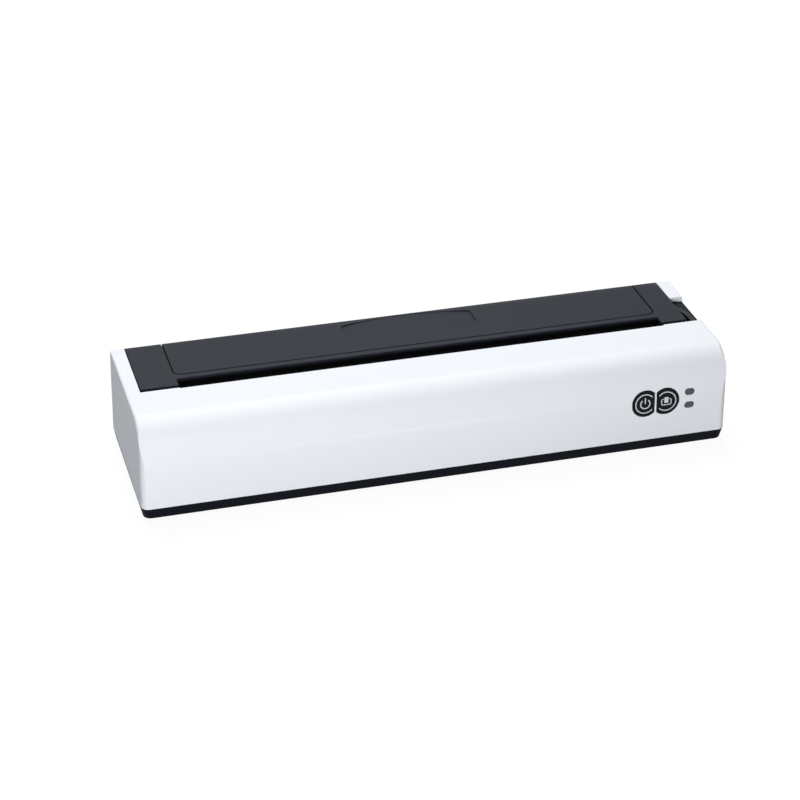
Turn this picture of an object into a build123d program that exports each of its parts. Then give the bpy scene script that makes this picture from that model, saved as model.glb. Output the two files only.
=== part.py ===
from build123d import *
import os
from math import acos, atan2, cos, floor, pi, radians, sin, sqrt, tan

# Portable page-width thermal printer, in millimetres.
# X runs along the printer, Y from its front to its back, Z up from the table.

# Casing
LENGTH = 261.0
DEPTH = 75.0
HEIGHT = 44.0
WALL = 2.2
FRONT_CORNER = 3.5
BACK_CORNER = 2.5
INNER_CORNER = 0.8
SIDE_LEAN = 0.7
FRONT_UPRIGHT = 15.5
BROW_RADIUS = 45.0
BROW_TURN = 20.0
REAR_SLOPE = 8.0
REAR_SLOPE_LENGTH = 5.5
BAND_HEIGHT = 4.9
BAND_INSET = 0.9
FOOT_PROUD = 0.6
FOOT_RADIUS = 4.5
FOOT_SUNK = 0.6
FOOT_FROM_END = 18.5
FOOT_FROM_EDGE = 10.5
FLOOR = 2.6
LIP_THICK = 1.2
LIP_RISE = 2.5
SEAM = 0.4
SLIP = 0.2

# Cover
COVER_END_GAP = 7.3
COVER_FRONT = 32.1
LEDGE_WIDTH = 1.8
LEDGE_DROP = 1.5
COVER_SKIN = 2.6
SKIRT_RISE = 3.4
SKIRT_THICK = 1.5
SKIRT_BACK_GAP = 3.0
HINGE_RADIUS = 2.5
HINGE_PIN = 1.0
HINGE_PIN_LENGTH = 9.0
HINGE_PIN_IN_COVER = 5.0
HINGE_REST = 0.4
LUG_THICK = 4.5
LUG_REACH = 4.0
LID_THICK = 1.2
LID_GROOVE = 0.7
LID_CORNER = 3.0
RELIEF_LENGTH = 60.0
RELIEF_END = 11.5
RELIEF_WIDTH = 19.8
RELIEF_DEPTH = 0.5
RELIEF_BACK = 2.9
RELIEF_CORNER = 2.5

# Paper path
PAPER_FROM_END = 22.5
PAPER_SHIFT = 2.3
PAPER_SIDE_PLAY = 1.0
SLOT_WIDTH = 8.4
SLOT_STEP = 0.6
STRIP_WIDTH = 3.1
PLATEN_RADIUS = 6.0
PLATEN_SET_BACK = 9.6
PLATEN_DROP = 9.8
SHAFT_RADIUS = 2.5
ROLL_BEHIND_PLATEN = 1.5
TRAY_FLOOR_GAP = 1.6
TRAY_WALL = 1.2
TRAY_END = 1.5
TRAY_UNDER_PLATEN = 2.7
TRAY_END_DROP = 11.9
TRAY_BACK_DROP = 5.4
TRAY_BACK_GAP = 0.4
TRAY_RIB = 2.0
TRAY_RIB_PITCH = 60.0
TRAY_RIB_HALF = 8.0

# Print head, which leans forward off the upright
HEAD_LEAN = 20.0
HEAD_GAP = 0.3
HEAD_BOARD = 1.0
HEAD_BOARD_LOW = 8.5
HEAD_BOARD_HIGH = 4.5
CHIP_COVER = 0.8
CHIP_COVER_LOW = 8.0
CHIP_COVER_HIGH = 4.6
HEAT_BAR = 2.5
HEAT_BAR_LOW = 9.0
HEAT_BAR_HIGH = 3.5
HEAD_PIVOT_LOW = 8.0
HEAD_PIN = 1.0
SPRING_SEAT_GAP = 0.4
SPRING_LENGTH = 6.0
SPRING_COIL = 2.0
SPRING_WIRE = 0.3
SPRING_TURNS = 5
SPRING_COUNT = 4
SPRING_PITCH = 54.0
BEAM_THICK = 1.2
BEAM_LOW = 6.0
BEAM_HIGH = 3.0
TEAR_THICK = 0.7
TEAR_HEIGHT = 5.4
TEAR_BELOW_TOP = 0.6
TOOTH_PITCH = 2.0
TOOTH_HEIGHT = 0.8
FLANGE_THICK = 1.2
FLANGE_DROP = 4.8

# Drive
MODULE = 0.6
PLATEN_TEETH = 20
IDLER_ROOM = 3.4
PINION_TEETH = 14
GEAR_WIDTH = 4.0
GEAR_FROM_PLATE = 2.3
GEAR_HUB = 4.2
PRESSURE_ANGLE = 20.0
ADDENDUM = 0.8
DEDENDUM = 1.2
BACKLASH = 0.14
RUNNING = 0.05
PRESS = 0.02
IDLER_AXLE = 1.5
AXLE_HEAD = 3.0
MOTOR_UNDER_PLATEN = 11.8
MOTOR_LENGTH = 16.0
MOTOR_BOSS = 3.0
MOTOR_SHAFT = 1.0
MOTOR_SHAFT_IN = 6.0
MOTOR_FLOOR_GAP = 0.2

# Frame plates and the cover's bracket
PLATE_THICK = 1.5
PLATE_FRONT = 22.0
PLATE_BACK = 55.5
PLATE_GAP = 2.1
PLATE_HORN = 6.3
PLATE_SHOULDER = 9.0
PLATE_NOSE = 2.4
CRADLE_GAP = 0.5
ARM_THICK = 2.0
ARM_GAP = 3.3
ARM_HUB = 4.5
ARM_TOP_ANGLE = 125.0
ARM_FOOT_ANGLES = (-45.0, -135.0)
BUSH_WALL = 1.0
BUSH_FLANGE = 1.0
BUSH_COLLAR = 4.4
CLIP_RADIUS = 4.0
CLIP_THICK = 0.8
BRACKET_THICK = 1.2
BRACKET_FRONT_GAP = 6.1
BRACKET_HINGE_GAP = 7.0
BRACKET_SCREWS = 4
BRACKET_SCREW_PITCH = 60.0
SHAFT_PLAY = 0.3

# Battery and boards
CELL_UNDER_PLATEN = 11.8
CELL_GAP = 0.5
CELL_COUNT = 2
CELL_FLOOR_GAP = 0.8
BATTERY_FRONT_GAP = 6.8
BATTERY_START = 52.0
BATTERY_END = 76.5
SADDLE_COUNT = 4
SADDLE_THICK = 3.0
SADDLE_HEIGHT = 5.0
SADDLE_PLAY = 0.3
BOARD_THICK = 1.2
BOARD_PLAY = 1.0
MAIN_BOARD_DEPTH = 18.6
MAIN_BOARD_START = 44.5
MAIN_BOARD_END = 58.5
MAIN_BOARD_OVER_CELL = 1.8
STANDOFF_RADIUS = 2.2
STANDOFF_INSET = 3.0
CHIP = 10.0
CHIP_HEIGHT = 1.2
CHIP_SHARES = (0.16, 0.38, 0.75)
CAPACITOR_RADIUS = 3.0
CAPACITOR_HEIGHT = 6.0
CAPACITOR_SHARES = (0.28, 0.86)
PLUG_DEEP = 3.0
PLUG_HEIGHT = 2.4
PLUG_MARGIN = 1.0
CABLE_THICK = 0.3
CABLE_WIDTH = 60.0
CABLE_LEAD = 1.2
CABLE_DROP = 2.4
SENSOR_LENGTH = 7.0
SENSOR_DEEP = 2.6
SENSOR_HEIGHT = 6.0
SENSOR_SHIFT = 58.0
COVER_SWITCH_WIDE = 3.2
COVER_SWITCH_DEEP = 7.0
COVER_SWITCH_HEIGHT = 8.0
COVER_SWITCH_DROP = 4.0

# Front controls, in x from the right end and z from the table
BUTTON_RADIUS = 6.1
BUTTON_HEIGHT = 23.4
BUTTON_SUNK = 0.1
BUTTON_PLAY = 0.25
SPLIT_FROM_END = 33.7
BUTTON_SPLIT_GAP = 1.2
BUTTON_CLIP = 4.1
BUTTON_RIM = 0.8
RIM_SET_BACK = 3.3
STEM_RADIUS = 1.5
STEM_LENGTH = 1.0
PLUNGER_RADIUS = 1.4
PLUNGER_LENGTH = 0.4
PLUNGER_GAP = 0.7
SWITCH_SIZE = 6.0
SWITCH_DEEP = 3.0
LAMP_LENGTH = 4.4
LAMP_HEIGHT = 3.0
LAMP_FROM_END = 18.0
LAMP_ROWS = (20.3, 26.6)
LAMP_PLAY = 0.1
LAMP_RIM = 0.6
DIODE = 2.0
DIODE_DEEP = 1.0
DIODE_GAP = 0.7
PANEL_LENGTH = 42.0
PANEL_FROM_END = 8.5
PANEL_LOW = 9.0
PANEL_HIGH = 33.0
PANEL_SCREW_INSET = 2.6

# Socket in the right-hand side
SOCKET_WIDTH = 9.0
SOCKET_HEIGHT = 3.2
SOCKET_DEEP = 7.3
SOCKET_WALL = 0.35
SOCKET_TONGUE = 0.7
TONGUE_SIDE = 1.05
SOCKET_FROM_FRONT = 16.9
SOCKET_Z = 13.0
SOCKET_PLAY = 0.3
PORT_BOARD_LENGTH = 15.0
PORT_BOARD_DEPTH = 9.4

# Release on the right
NOTCH_LENGTH = 24.0
NOTCH_DROP = 6.5
INSERT_DROP = 2.4
INSERT_BLOCK = 4.7
INSERT_BLOCK_DROP = 11.0
INSERT_INSIDE = 2.3
WELL_RADIUS = 27.5
WELL_WIDTH = 2.7
WELL_MIDDLE = 6.5
LEVER_THICK = 1.2
LEVER_GAP = 0.7
LEVER_HUB = 3.4
LEVER_PIN = 1.5
LEVER_PIVOT_BACK = 15.8
LEVER_PIVOT_Z = 20.0
NOSE_GAP = 0.4
NOSE_THICK = 1.8
NECK_BACK = 3.2
PAD_THICK = 1.8
PAD_START = 3.0
PAD_LENGTH = 8.0
PAD_SUNK = 0.4
LEVER_SPRING_WIRE = 0.26
LEVER_SPRING_PITCH = 0.54
LEVER_SPRING_TURNS = 3

# Fasteners
SCREW_RADIUS = 1.1
SCREW_HEAD = 2.1
SCREW_HEAD_THICK = 1.1
SCREW_PLAY = 0.15
SCREW_LENGTH = 12.0
SMALL_SCREW_LENGTH = 4.0
POST_RADIUS = 2.4
CORNER_POST_INSET = 4.3
FRONT_CORNER_POST_EDGE = 8.0
POST_EDGE = 7.5
MIDDLE_POSTS_FROM_ENDS = (39.5, 54.5)

# Places worked out from the sizes above
FRONT = -DEPTH / 2
BACK = DEPTH / 2
END = LENGTH / 2
BASE_BOTTOM = FOOT_PROUD
SHELL_BOTTOM = BASE_BOTTOM + BAND_HEIGHT
FLOOR_TOP = BASE_BOTTOM + FLOOR
LIP_TOP = SHELL_BOTTOM + LIP_RISE
BROW_START = SHELL_BOTTOM + FRONT_UPRIGHT
BROW_RISE = BROW_RADIUS * sin(radians(BROW_TURN))
BROW_BACK = BROW_RADIUS * (1 - cos(radians(BROW_TURN)))
EDGE_RADIUS = (HEIGHT - BROW_START - BROW_RISE) / (1 - sin(radians(BROW_TURN)))
EDGE_Y = FRONT + BROW_BACK + EDGE_RADIUS * cos(radians(BROW_TURN))
HINGE_Y = BACK - HINGE_RADIUS
SLOPE_START = BACK - REAR_SLOPE_LENGTH
REAR_DROP = (HINGE_Y + HINGE_RADIUS * tan(radians(REAR_SLOPE / 2)) - SLOPE_START) * tan(radians(REAR_SLOPE))
HINGE_Z = HEIGHT - REAR_DROP - HINGE_RADIUS
COVER_END = END - COVER_END_GAP
COVER_EDGE = FRONT + COVER_FRONT
OPENING_EDGE = COVER_EDGE - SEAM
OPENING_END = COVER_END + SEAM
SLOT_FRONT = OPENING_EDGE - SLOT_STEP
SLOT_BACK = SLOT_FRONT + SLOT_WIDTH
STRIP_BACK = SLOT_BACK + STRIP_WIDTH
PAPER_WIDTH = LENGTH - 2 * PAPER_FROM_END
PLATEN_LEFT = PAPER_SHIFT - PAPER_WIDTH / 2
PLATEN_RIGHT = PAPER_SHIFT + PAPER_WIDTH / 2
SLOT_LEFT = PLATEN_LEFT - PAPER_SIDE_PLAY
SLOT_RIGHT = PLATEN_RIGHT + PAPER_SIDE_PLAY
REAR_WALL_TOP = HINGE_Z - HINGE_RADIUS - HINGE_REST
DECK_BOTTOM = HEIGHT - COVER_SKIN
DECK_TOP = HEIGHT - LID_THICK
SKIRT_BOTTOM = DECK_BOTTOM - SKIRT_RISE
PLATEN_Y = SLOT_FRONT + PLATEN_SET_BACK
PLATEN_Z = HEIGHT - PLATEN_DROP
TRAY_BACK = BACK - WALL - TRAY_BACK_GAP
ROLL_RADIUS = (TRAY_BACK - TRAY_WALL - PLATEN_Y - ROLL_BEHIND_PLATEN) / 2
ROLL_Y = TRAY_BACK - TRAY_WALL - ROLL_RADIUS
ROLL_Z = FLOOR_TOP + TRAY_FLOOR_GAP + TRAY_WALL + ROLL_RADIUS
TRAY_FRONT_TOP = PLATEN_Z - PLATEN_RADIUS - TRAY_UNDER_PLATEN
BRACKET_BOTTOM = DECK_BOTTOM - BRACKET_THICK
BRACKET_FRONT = PLATEN_Y + BRACKET_FRONT_GAP
BRACKET_BACK = HINGE_Y - BRACKET_HINGE_GAP
LEFT_ARM = (PLATEN_LEFT - ARM_GAP - ARM_THICK, PLATEN_LEFT - ARM_GAP)
RIGHT_ARM = (PLATEN_RIGHT + ARM_GAP, PLATEN_RIGHT + ARM_GAP + ARM_THICK)
LEFT_PLATE = (LEFT_ARM[0] - PLATE_GAP - PLATE_THICK, LEFT_ARM[0] - PLATE_GAP)
RIGHT_PLATE = (RIGHT_ARM[1] + PLATE_GAP, RIGHT_ARM[1] + PLATE_GAP + PLATE_THICK)
GEAR_RIGHT = LEFT_PLATE[0] - GEAR_FROM_PLATE
GEAR_LEFT = GEAR_RIGHT - GEAR_WIDTH
SHAFT_END = COVER_END - SKIRT_THICK - SHAFT_PLAY
BUTTON_SPLIT = END - SPLIT_FROM_END
LAMP_X = END - LAMP_FROM_END
PANEL_RIGHT = END - PANEL_FROM_END
PANEL_LEFT = PANEL_RIGHT - PANEL_LENGTH
RIM_Y = FRONT + RIM_SET_BACK
STEM_END_Y = RIM_Y + BUTTON_RIM + STEM_LENGTH
PANEL_Y = STEM_END_Y + PLUNGER_GAP + PLUNGER_LENGTH + SWITCH_DEEP
CELL_RADIUS = (PLATEN_Z - CELL_UNDER_PLATEN - FLOOR_TOP - CELL_FLOOR_GAP) / 2
CELL_Y = FRONT + BATTERY_FRONT_GAP + CELL_RADIUS
CELL_Z = FLOOR_TOP + CELL_FLOOR_GAP + CELL_RADIUS
MAIN_BOARD_Z = CELL_Z + CELL_RADIUS + MAIN_BOARD_OVER_CELL
LIFT = atan2(HINGE_Z - PLATEN_Z, HINGE_Y - PLATEN_Y)
IDLER_TEETH = round((PLATEN_Z - MODULE * PLATEN_TEETH / 2 - FLOOR_TOP - IDLER_ROOM) / MODULE)
IDLER_REACH = MODULE * (PLATEN_TEETH + IDLER_TEETH) / 2
IDLER_Y = PLATEN_Y + IDLER_REACH * sin(LIFT)
IDLER_Z = PLATEN_Z - IDLER_REACH * cos(LIFT)
MOTOR_REACH = MODULE * (IDLER_TEETH + PINION_TEETH) / 2
MOTOR_RADIUS = (PLATEN_Z - MOTOR_UNDER_PLATEN - FLOOR_TOP - MOTOR_FLOOR_GAP) / 2
MOTOR_Z = FLOOR_TOP + MOTOR_FLOOR_GAP + MOTOR_RADIUS
MOTOR_Y = IDLER_Y - sqrt(MOTOR_REACH**2 - (IDLER_Z - MOTOR_Z) ** 2)
LEVER_LEFT = COVER_END + LEVER_GAP
LEVER_RIGHT = LEVER_LEFT + LEVER_THICK
LEVER_PIVOT_Y = OPENING_EDGE + LEVER_PIVOT_BACK
SOCKET_Y = FRONT + SOCKET_FROM_FRONT
PORT_BOARD_Z = SOCKET_Z - SOCKET_HEIGHT / 2 - BOARD_THICK


def side_lean(z):
    """How far a side wall has leaned in at a height."""
    return SIDE_LEAN * (z - SHELL_BOTTOM) / (HEIGHT - SHELL_BOTTOM)


def outline(points):
    """A face bounded by straight lines through the points."""
    return make_face(Polyline(*points, close=True))


def along_x(face, x_low, x_high):
    """Extrude a face drawn in (y, z) from one X to another."""
    return extrude(Plane.YZ.offset(x_low) * face, amount=x_high - x_low)


def along_y(face, y_low, y_high):
    """Extrude a face drawn in (x, z) from one Y to another."""
    return extrude(Plane.XZ.offset(-y_high) * face, amount=y_high - y_low)


def block(x_low, x_high, y_low, y_high, z_low, z_high):
    """A box between two corners."""
    corner = (Align.MIN, Align.MIN, Align.MIN)
    return Pos(x_low, y_low, z_low) * Box(x_high - x_low, y_high - y_low, z_high - z_low, align=corner)


def rod_x(y, z, radius, x_low, x_high):
    """A round bar along X."""
    return along_x(Pos(y, z) * Circle(radius), x_low, x_high)


def tube_x(y, z, radius, bore, x_low, x_high):
    """A round tube along X."""
    return along_x(Pos(y, z) * (Circle(radius) - Circle(bore)), x_low, x_high)


def rod_z(x, y, radius, z_low, z_high):
    """A round bar standing on its end."""
    return extrude(Pos(x, y, z_low) * Circle(radius), amount=z_high - z_low)


def around(y, z, radius, angle):
    """The point (y, z) at an angle in degrees on a circle."""
    return (y + radius * cos(radians(angle)), z + radius * sin(radians(angle)))


def slope_knee(depth):
    """Where the flat top and the rear slope meet, at a depth under both."""
    return (SLOPE_START - depth * tan(radians(REAR_SLOPE / 2)), HEIGHT - depth)


def casing_face(inset, bottom):
    """The casing's side view: upright front, leaning brow, flat top, rear slope and rounded back edge."""
    brow = CenterArc((FRONT + BROW_RADIUS, BROW_START), BROW_RADIUS - inset, 180, -BROW_TURN)
    edge = CenterArc((EDGE_Y, HEIGHT - EDGE_RADIUS), EDGE_RADIUS - inset, 180 - BROW_TURN, BROW_TURN - 90)
    rear = CenterArc((HINGE_Y, HINGE_Z), HINGE_RADIUS - inset, 90 - REAR_SLOPE, REAR_SLOPE - 90)
    knee = slope_knee(inset)
    front = Line((FRONT + inset, bottom), brow @ 0)
    top = Line(edge @ 1, knee)
    slope = Line(knee, rear @ 0)
    back = Line(rear @ 1, (BACK - inset, bottom))
    under = Line(back @ 1, front @ 0)
    return make_face([front, brow, edge, top, slope, rear, back, under])


def plan_face(length, depth, inset):
    """A rectangle with rounded front and back corners, moved in by an inset."""
    face = Rectangle(length - 2 * inset, depth - 2 * inset)
    face = fillet(face.vertices().group_by(Axis.Y)[0], max(FRONT_CORNER - inset, INNER_CORNER))
    return fillet(face.vertices().group_by(Axis.Y)[-1], max(BACK_CORNER - inset, INNER_CORNER))


def plan_body(inset, z_low, z_high):
    """The casing's plan, whose ends lean in as it rises."""
    faces = []
    for z in (z_low, z_high):
        faces.append(Pos(0, 0, z) * plan_face(LENGTH - 2 * side_lean(z), DEPTH, inset))
    return loft(faces)


def casing_body(inset, bottom):
    """The space inside the casing's outer surface moved in by an inset."""
    return plan_body(inset, bottom - 1, HEIGHT + 1) & along_x(casing_face(inset, bottom), -END, END)


def post_places():
    """Where the casing screws stand, as (x, y)."""
    corner_x = END - CORNER_POST_INSET
    corner_ys = (FRONT + FRONT_CORNER_POST_EDGE, BACK - POST_EDGE)
    left, right = MIDDLE_POSTS_FROM_ENDS
    places = [(x, y) for x in (-corner_x, corner_x) for y in corner_ys]
    return places + [(x, FRONT + POST_EDGE) for x in (left - END, END - right)]


def button_center(side):
    """A button's middle along X. side is -1 or 1."""
    return BUTTON_SPLIT + side * (BUTTON_SPLIT_GAP / 2 + BUTTON_CLIP)


def button_face(side, grow, split_grow):
    """A button's outline: a circle cut straight beside its neighbour. side is -1 or 1."""
    flat = BUTTON_SPLIT + side * (BUTTON_SPLIT_GAP / 2 - split_grow)
    width = 4 * BUTTON_RADIUS
    keep = Pos(flat + side * width / 2, BUTTON_HEIGHT) * Rectangle(width, width)
    return Pos(button_center(side), BUTTON_HEIGHT) * Circle(BUTTON_RADIUS + grow) & keep


def lamp_face(row, grow):
    """The outline of a status lamp, a lying pill."""
    return Pos(LAMP_X, row) * SlotOverall(LAMP_LENGTH + 2 * grow, LAMP_HEIGHT + 2 * grow)


def socket_face(grow):
    """The outline of the charging socket in (y, z)."""
    width = SOCKET_WIDTH + 2 * grow
    height = SOCKET_HEIGHT + 2 * grow
    return Pos(SOCKET_Y, SOCKET_Z) * RectangleRounded(width, height, height / 2 - PRESS)


def panel_screw_places():
    """Corners of the front control board, as (x, z)."""
    xs = (PANEL_LEFT + PANEL_SCREW_INSET, PANEL_RIGHT - PANEL_SCREW_INSET)
    zs = (PANEL_LOW + PANEL_SCREW_INSET, PANEL_HIGH - PANEL_SCREW_INSET)
    return [(x, z) for x in xs for z in zs]


def main_board_span():
    """The main board's corners, as (x_low, x_high, y_low, y_high)."""
    y_low = FRONT + WALL + BOARD_PLAY
    return MAIN_BOARD_START - END, END - MAIN_BOARD_END, y_low, y_low + MAIN_BOARD_DEPTH


def main_screw_places():
    """Corners of the main board, as (x, y)."""
    x_low, x_high, y_low, y_high = main_board_span()
    xs = (x_low + STANDOFF_INSET, x_high - STANDOFF_INSET)
    ys = (y_low + STANDOFF_INSET, y_high - STANDOFF_INSET)
    return [(x, y) for x in xs for y in ys]


def make_upper_housing():
    """The white upper casing with its openings, screw posts and hinge lugs."""
    shell = casing_body(0, SHELL_BOTTOM) - casing_body(WALL, SHELL_BOTTOM - 1)
    fill = casing_body(WALL / 2, SHELL_BOTTOM)
    inner_top = HEIGHT - WALL / 2
    # a wall hangs along the front of the paper slot, and short skirts stiffen the opening's ends
    flange = block(-OPENING_END, OPENING_END, SLOT_FRONT - FLANGE_THICK, SLOT_FRONT, 0, inner_top)
    flange &= block(-END, END, FRONT, BACK, HEIGHT - WALL - FLANGE_DROP, inner_top)
    extras = flange
    for side in (-1, 1):
        outer = side * (OPENING_END + LUG_THICK)
        inner = side * OPENING_END
        low, high = min(outer, inner), max(outer, inner)
        lug = block(low, high, HINGE_Y - LUG_REACH, BACK, REAR_WALL_TOP - LUG_REACH, inner_top)
        extras += lug & fill
    for x, y in post_places():
        extras += rod_z(x, y, POST_RADIUS, LIP_TOP + SLIP, HEIGHT) & fill
    for x, z in panel_screw_places():
        extras += along_y(Pos(x, z) * Circle(POST_RADIUS), FRONT, PANEL_Y) & fill
    shell += extras
    # the cover's opening, the step in front of the paper slot and the release notch
    shell -= block(-OPENING_END, OPENING_END, OPENING_EDGE, BACK + 1, REAR_WALL_TOP, HEIGHT + 1)
    shell -= block(SLOT_LEFT, SLOT_RIGHT, SLOT_FRONT, OPENING_EDGE + 1, DECK_BOTTOM - WALL, HEIGHT + 1)
    notch_end = OPENING_EDGE + NOTCH_LENGTH
    shell -= block(OPENING_END - 1, END + 1, OPENING_EDGE, notch_end, HEIGHT - NOTCH_DROP, HEIGHT + 1)
    for side in (-1, 1):
        x_low = COVER_END - HINGE_PIN_IN_COVER
        bore = rod_x(HINGE_Y, HINGE_Z, HINGE_PIN + PRESS, x_low, x_low + HINGE_PIN_LENGTH + PRESS)
        shell -= bore if side > 0 else mirror(bore, about=Plane.YZ)
    for x, y in post_places():
        shell -= rod_z(x, y, SCREW_RADIUS + PRESS, LIP_TOP, BASE_BOTTOM + SCREW_LENGTH + SCREW_HEAD_THICK + 1)
    for x, z in panel_screw_places():
        hole = Pos(x, z) * Circle(SCREW_RADIUS + PRESS)
        shell -= along_y(hole, PANEL_Y - SMALL_SCREW_LENGTH, PANEL_Y + 1)
    for side in (-1, 1):
        shell -= along_y(button_face(side, BUTTON_PLAY, BUTTON_PLAY), FRONT - 1, FRONT + RIM_SET_BACK)
    for row in LAMP_ROWS:
        shell -= along_y(lamp_face(row, LAMP_PLAY), FRONT - 1, FRONT + RIM_SET_BACK)
    shell -= along_x(socket_face(SOCKET_PLAY), END - WALL - SIDE_LEAN - 1, END + 1)
    return shell


def make_base_tray():
    """The black base: a shallow tray with a lip, screw bosses, battery saddles and standoffs."""
    low = plan_face(LENGTH - 2 * BAND_INSET, DEPTH - 2 * BAND_INSET, 0)
    high = plan_face(LENGTH, DEPTH, 0)
    tray = loft([Pos(0, 0, BASE_BOTTOM) * low, Pos(0, 0, SHELL_BOTTOM) * high])
    hollow = plan_face(LENGTH, DEPTH, WALL)
    tray -= extrude(Pos(0, 0, FLOOR_TOP) * hollow, amount=BAND_HEIGHT)
    lip_plan = plan_face(LENGTH, DEPTH, WALL + SLIP)
    lip_hole = plan_face(LENGTH, DEPTH, WALL + SLIP + LIP_THICK)
    risers = extrude(Pos(0, 0, FLOOR_TOP - 1) * (lip_plan - lip_hole), amount=LIP_TOP - FLOOR_TOP + 1)
    for x, y in post_places():
        risers += rod_z(x, y, POST_RADIUS, FLOOR_TOP - 1, LIP_TOP)
    for x, y in main_screw_places():
        risers += rod_z(x, y, STANDOFF_RADIUS, FLOOR_TOP - 1, MAIN_BOARD_Z)
    for x in port_post_places():
        risers += rod_z(x, SOCKET_Y, STANDOFF_RADIUS, FLOOR_TOP - 1, PORT_BOARD_Z)
    for x in saddle_places():
        risers += block(
            x,
            x + SADDLE_THICK,
            CELL_Y - CELL_RADIUS - SADDLE_PLAY,
            CELL_Y + CELL_RADIUS + SADDLE_PLAY,
            FLOOR_TOP - 1,
            FLOOR_TOP + SADDLE_HEIGHT,
        )
    risers -= rod_x(CELL_Y, CELL_Z, CELL_RADIUS + SADDLE_PLAY, *battery_span())
    tray += risers & extrude(Pos(0, 0, FLOOR_TOP - 1) * lip_plan, amount=HEIGHT)
    for x, y in post_places():
        head_top = BASE_BOTTOM + SCREW_HEAD_THICK + SCREW_PLAY
        tray -= rod_z(x, y, SCREW_HEAD + SCREW_PLAY, BASE_BOTTOM - 1, head_top)
        tray -= rod_z(x, y, SCREW_RADIUS + SCREW_PLAY, BASE_BOTTOM, LIP_TOP + 1)
    for x, y in main_screw_places():
        depth = SMALL_SCREW_LENGTH - BOARD_THICK
        tray -= rod_z(x, y, SCREW_RADIUS + PRESS, MAIN_BOARD_Z - depth, MAIN_BOARD_Z + 1)
    for x, y in foot_places():
        tray -= rod_z(x, y, FOOT_RADIUS + PRESS, 0, BASE_BOTTOM + FOOT_SUNK)
    return tray


def foot_places():
    """Where the rubber feet lie, as (x, y)."""
    x = END - FOOT_FROM_END
    y = BACK - FOOT_FROM_EDGE
    return [(sx * x, sy * y) for sx in (-1, 1) for sy in (-1, 1)]


def make_feet():
    """Four rubber pads let into the underside."""
    return [rod_z(x, y, FOOT_RADIUS, 0, BASE_BOTTOM + FOOT_SUNK) for x, y in foot_places()]


def make_base_screws():
    """Pan-head screws that come up through the base into the casing's posts."""
    screws = []
    for x, y in post_places():
        head_top = BASE_BOTTOM + SCREW_HEAD_THICK + SCREW_PLAY
        head = rod_z(x, y, SCREW_HEAD, head_top - SCREW_HEAD_THICK, head_top)
        screws.append(head + rod_z(x, y, SCREW_RADIUS, head_top, head_top + SCREW_LENGTH))
    return screws


def make_hinge_pins():
    """Two steel pins, fast in the casing's lugs, on which the cover turns."""
    x_low = COVER_END - HINGE_PIN_IN_COVER
    pin = rod_x(HINGE_Y, HINGE_Z, HINGE_PIN, x_low, x_low + HINGE_PIN_LENGTH)
    return [pin, mirror(pin, about=Plane.YZ)]


def make_cover_frame():
    """The black cover frame: end blocks, the strip behind the paper slot, the deck and the hinge barrel."""
    tangent = around(HINGE_Y, HINGE_Z, HINGE_RADIUS, 90 - REAR_SLOPE)
    knees = [(COVER_EDGE, DECK_BOTTOM), (COVER_EDGE, HEIGHT), slope_knee(0), tangent, (HINGE_Y, DECK_BOTTOM)]
    side = outline(knees) + Pos(HINGE_Y, HINGE_Z) * Circle(HINGE_RADIUS)
    frame = along_x(side, -COVER_END, COVER_END)
    for side in (-1, 1):
        outer = side * COVER_END
        inner = side * (COVER_END - SKIRT_THICK)
        low, high = min(outer, inner), max(outer, inner)
        frame += block(low, high, COVER_EDGE, HINGE_Y - SKIRT_BACK_GAP, SKIRT_BOTTOM, HEIGHT)
    frame += block(-COVER_END, SLOT_LEFT, COVER_EDGE, COVER_EDGE + SKIRT_THICK, SKIRT_BOTTOM, HEIGHT)
    frame += block(SLOT_RIGHT, COVER_END, COVER_EDGE, COVER_EDGE + SKIRT_THICK, SKIRT_BOTTOM, HEIGHT)
    frame -= block(SLOT_LEFT, SLOT_RIGHT, COVER_EDGE - 1, SLOT_BACK, SKIRT_BOTTOM - 1, HEIGHT + 1)
    # a sunk bed for the lid, which also wraps the back edge
    bed = along_x(lid_side(STRIP_BACK, 1), SLOT_LEFT - LID_GROOVE, SLOT_RIGHT + LID_GROOVE)
    frame -= fillet(bed.edges().filter_by(Axis.Z).group_by(Axis.Y)[0], LID_CORNER + LID_GROOVE)
    # a sunk ledge lies in the shadow of the casing's edge, and the front follows the arc that it swings on
    frame -= block(-END, END, COVER_EDGE - 1, COVER_EDGE + LEDGE_WIDTH, HEIGHT - LEDGE_DROP, HEIGHT + 1)
    swing = sqrt((HINGE_Y - COVER_EDGE) ** 2 + (HEIGHT - HINGE_Z) ** 2)
    frame &= rod_x(HINGE_Y, HINGE_Z, swing, -END, END)
    bore = rod_x(HINGE_Y, HINGE_Z, HINGE_PIN + RUNNING, COVER_END - HINGE_PIN_IN_COVER - SLIP, END)
    frame -= bore
    frame -= mirror(bore, about=Plane.YZ)
    for x, y in bracket_screw_places():
        frame -= rod_z(x, y, SCREW_RADIUS + PRESS, DECK_BOTTOM - 1, DECK_TOP - SLIP)
    return frame


def lid_side(front, over):
    """The lid's side view: flat, then down the rear slope and round the hinge, with room over it."""
    start = 90 - REAR_SLOPE
    inner, outer = HINGE_RADIUS - LID_THICK, HINGE_RADIUS + over
    knees = [(front, DECK_TOP), (front, HEIGHT + over), slope_knee(-over)]
    knees += [around(HINGE_Y, HINGE_Z, radius, start) for radius in (outer, inner)]
    wedge = [(HINGE_Y, HINGE_Z), around(HINGE_Y, HINGE_Z, HEIGHT, start), (HEIGHT, HEIGHT), (HEIGHT, HINGE_Z)]
    ring = Pos(HINGE_Y, HINGE_Z) * (Circle(outer) - Circle(inner))
    return outline(knees + [slope_knee(LID_THICK)]) + (ring & outline(wedge))


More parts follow.
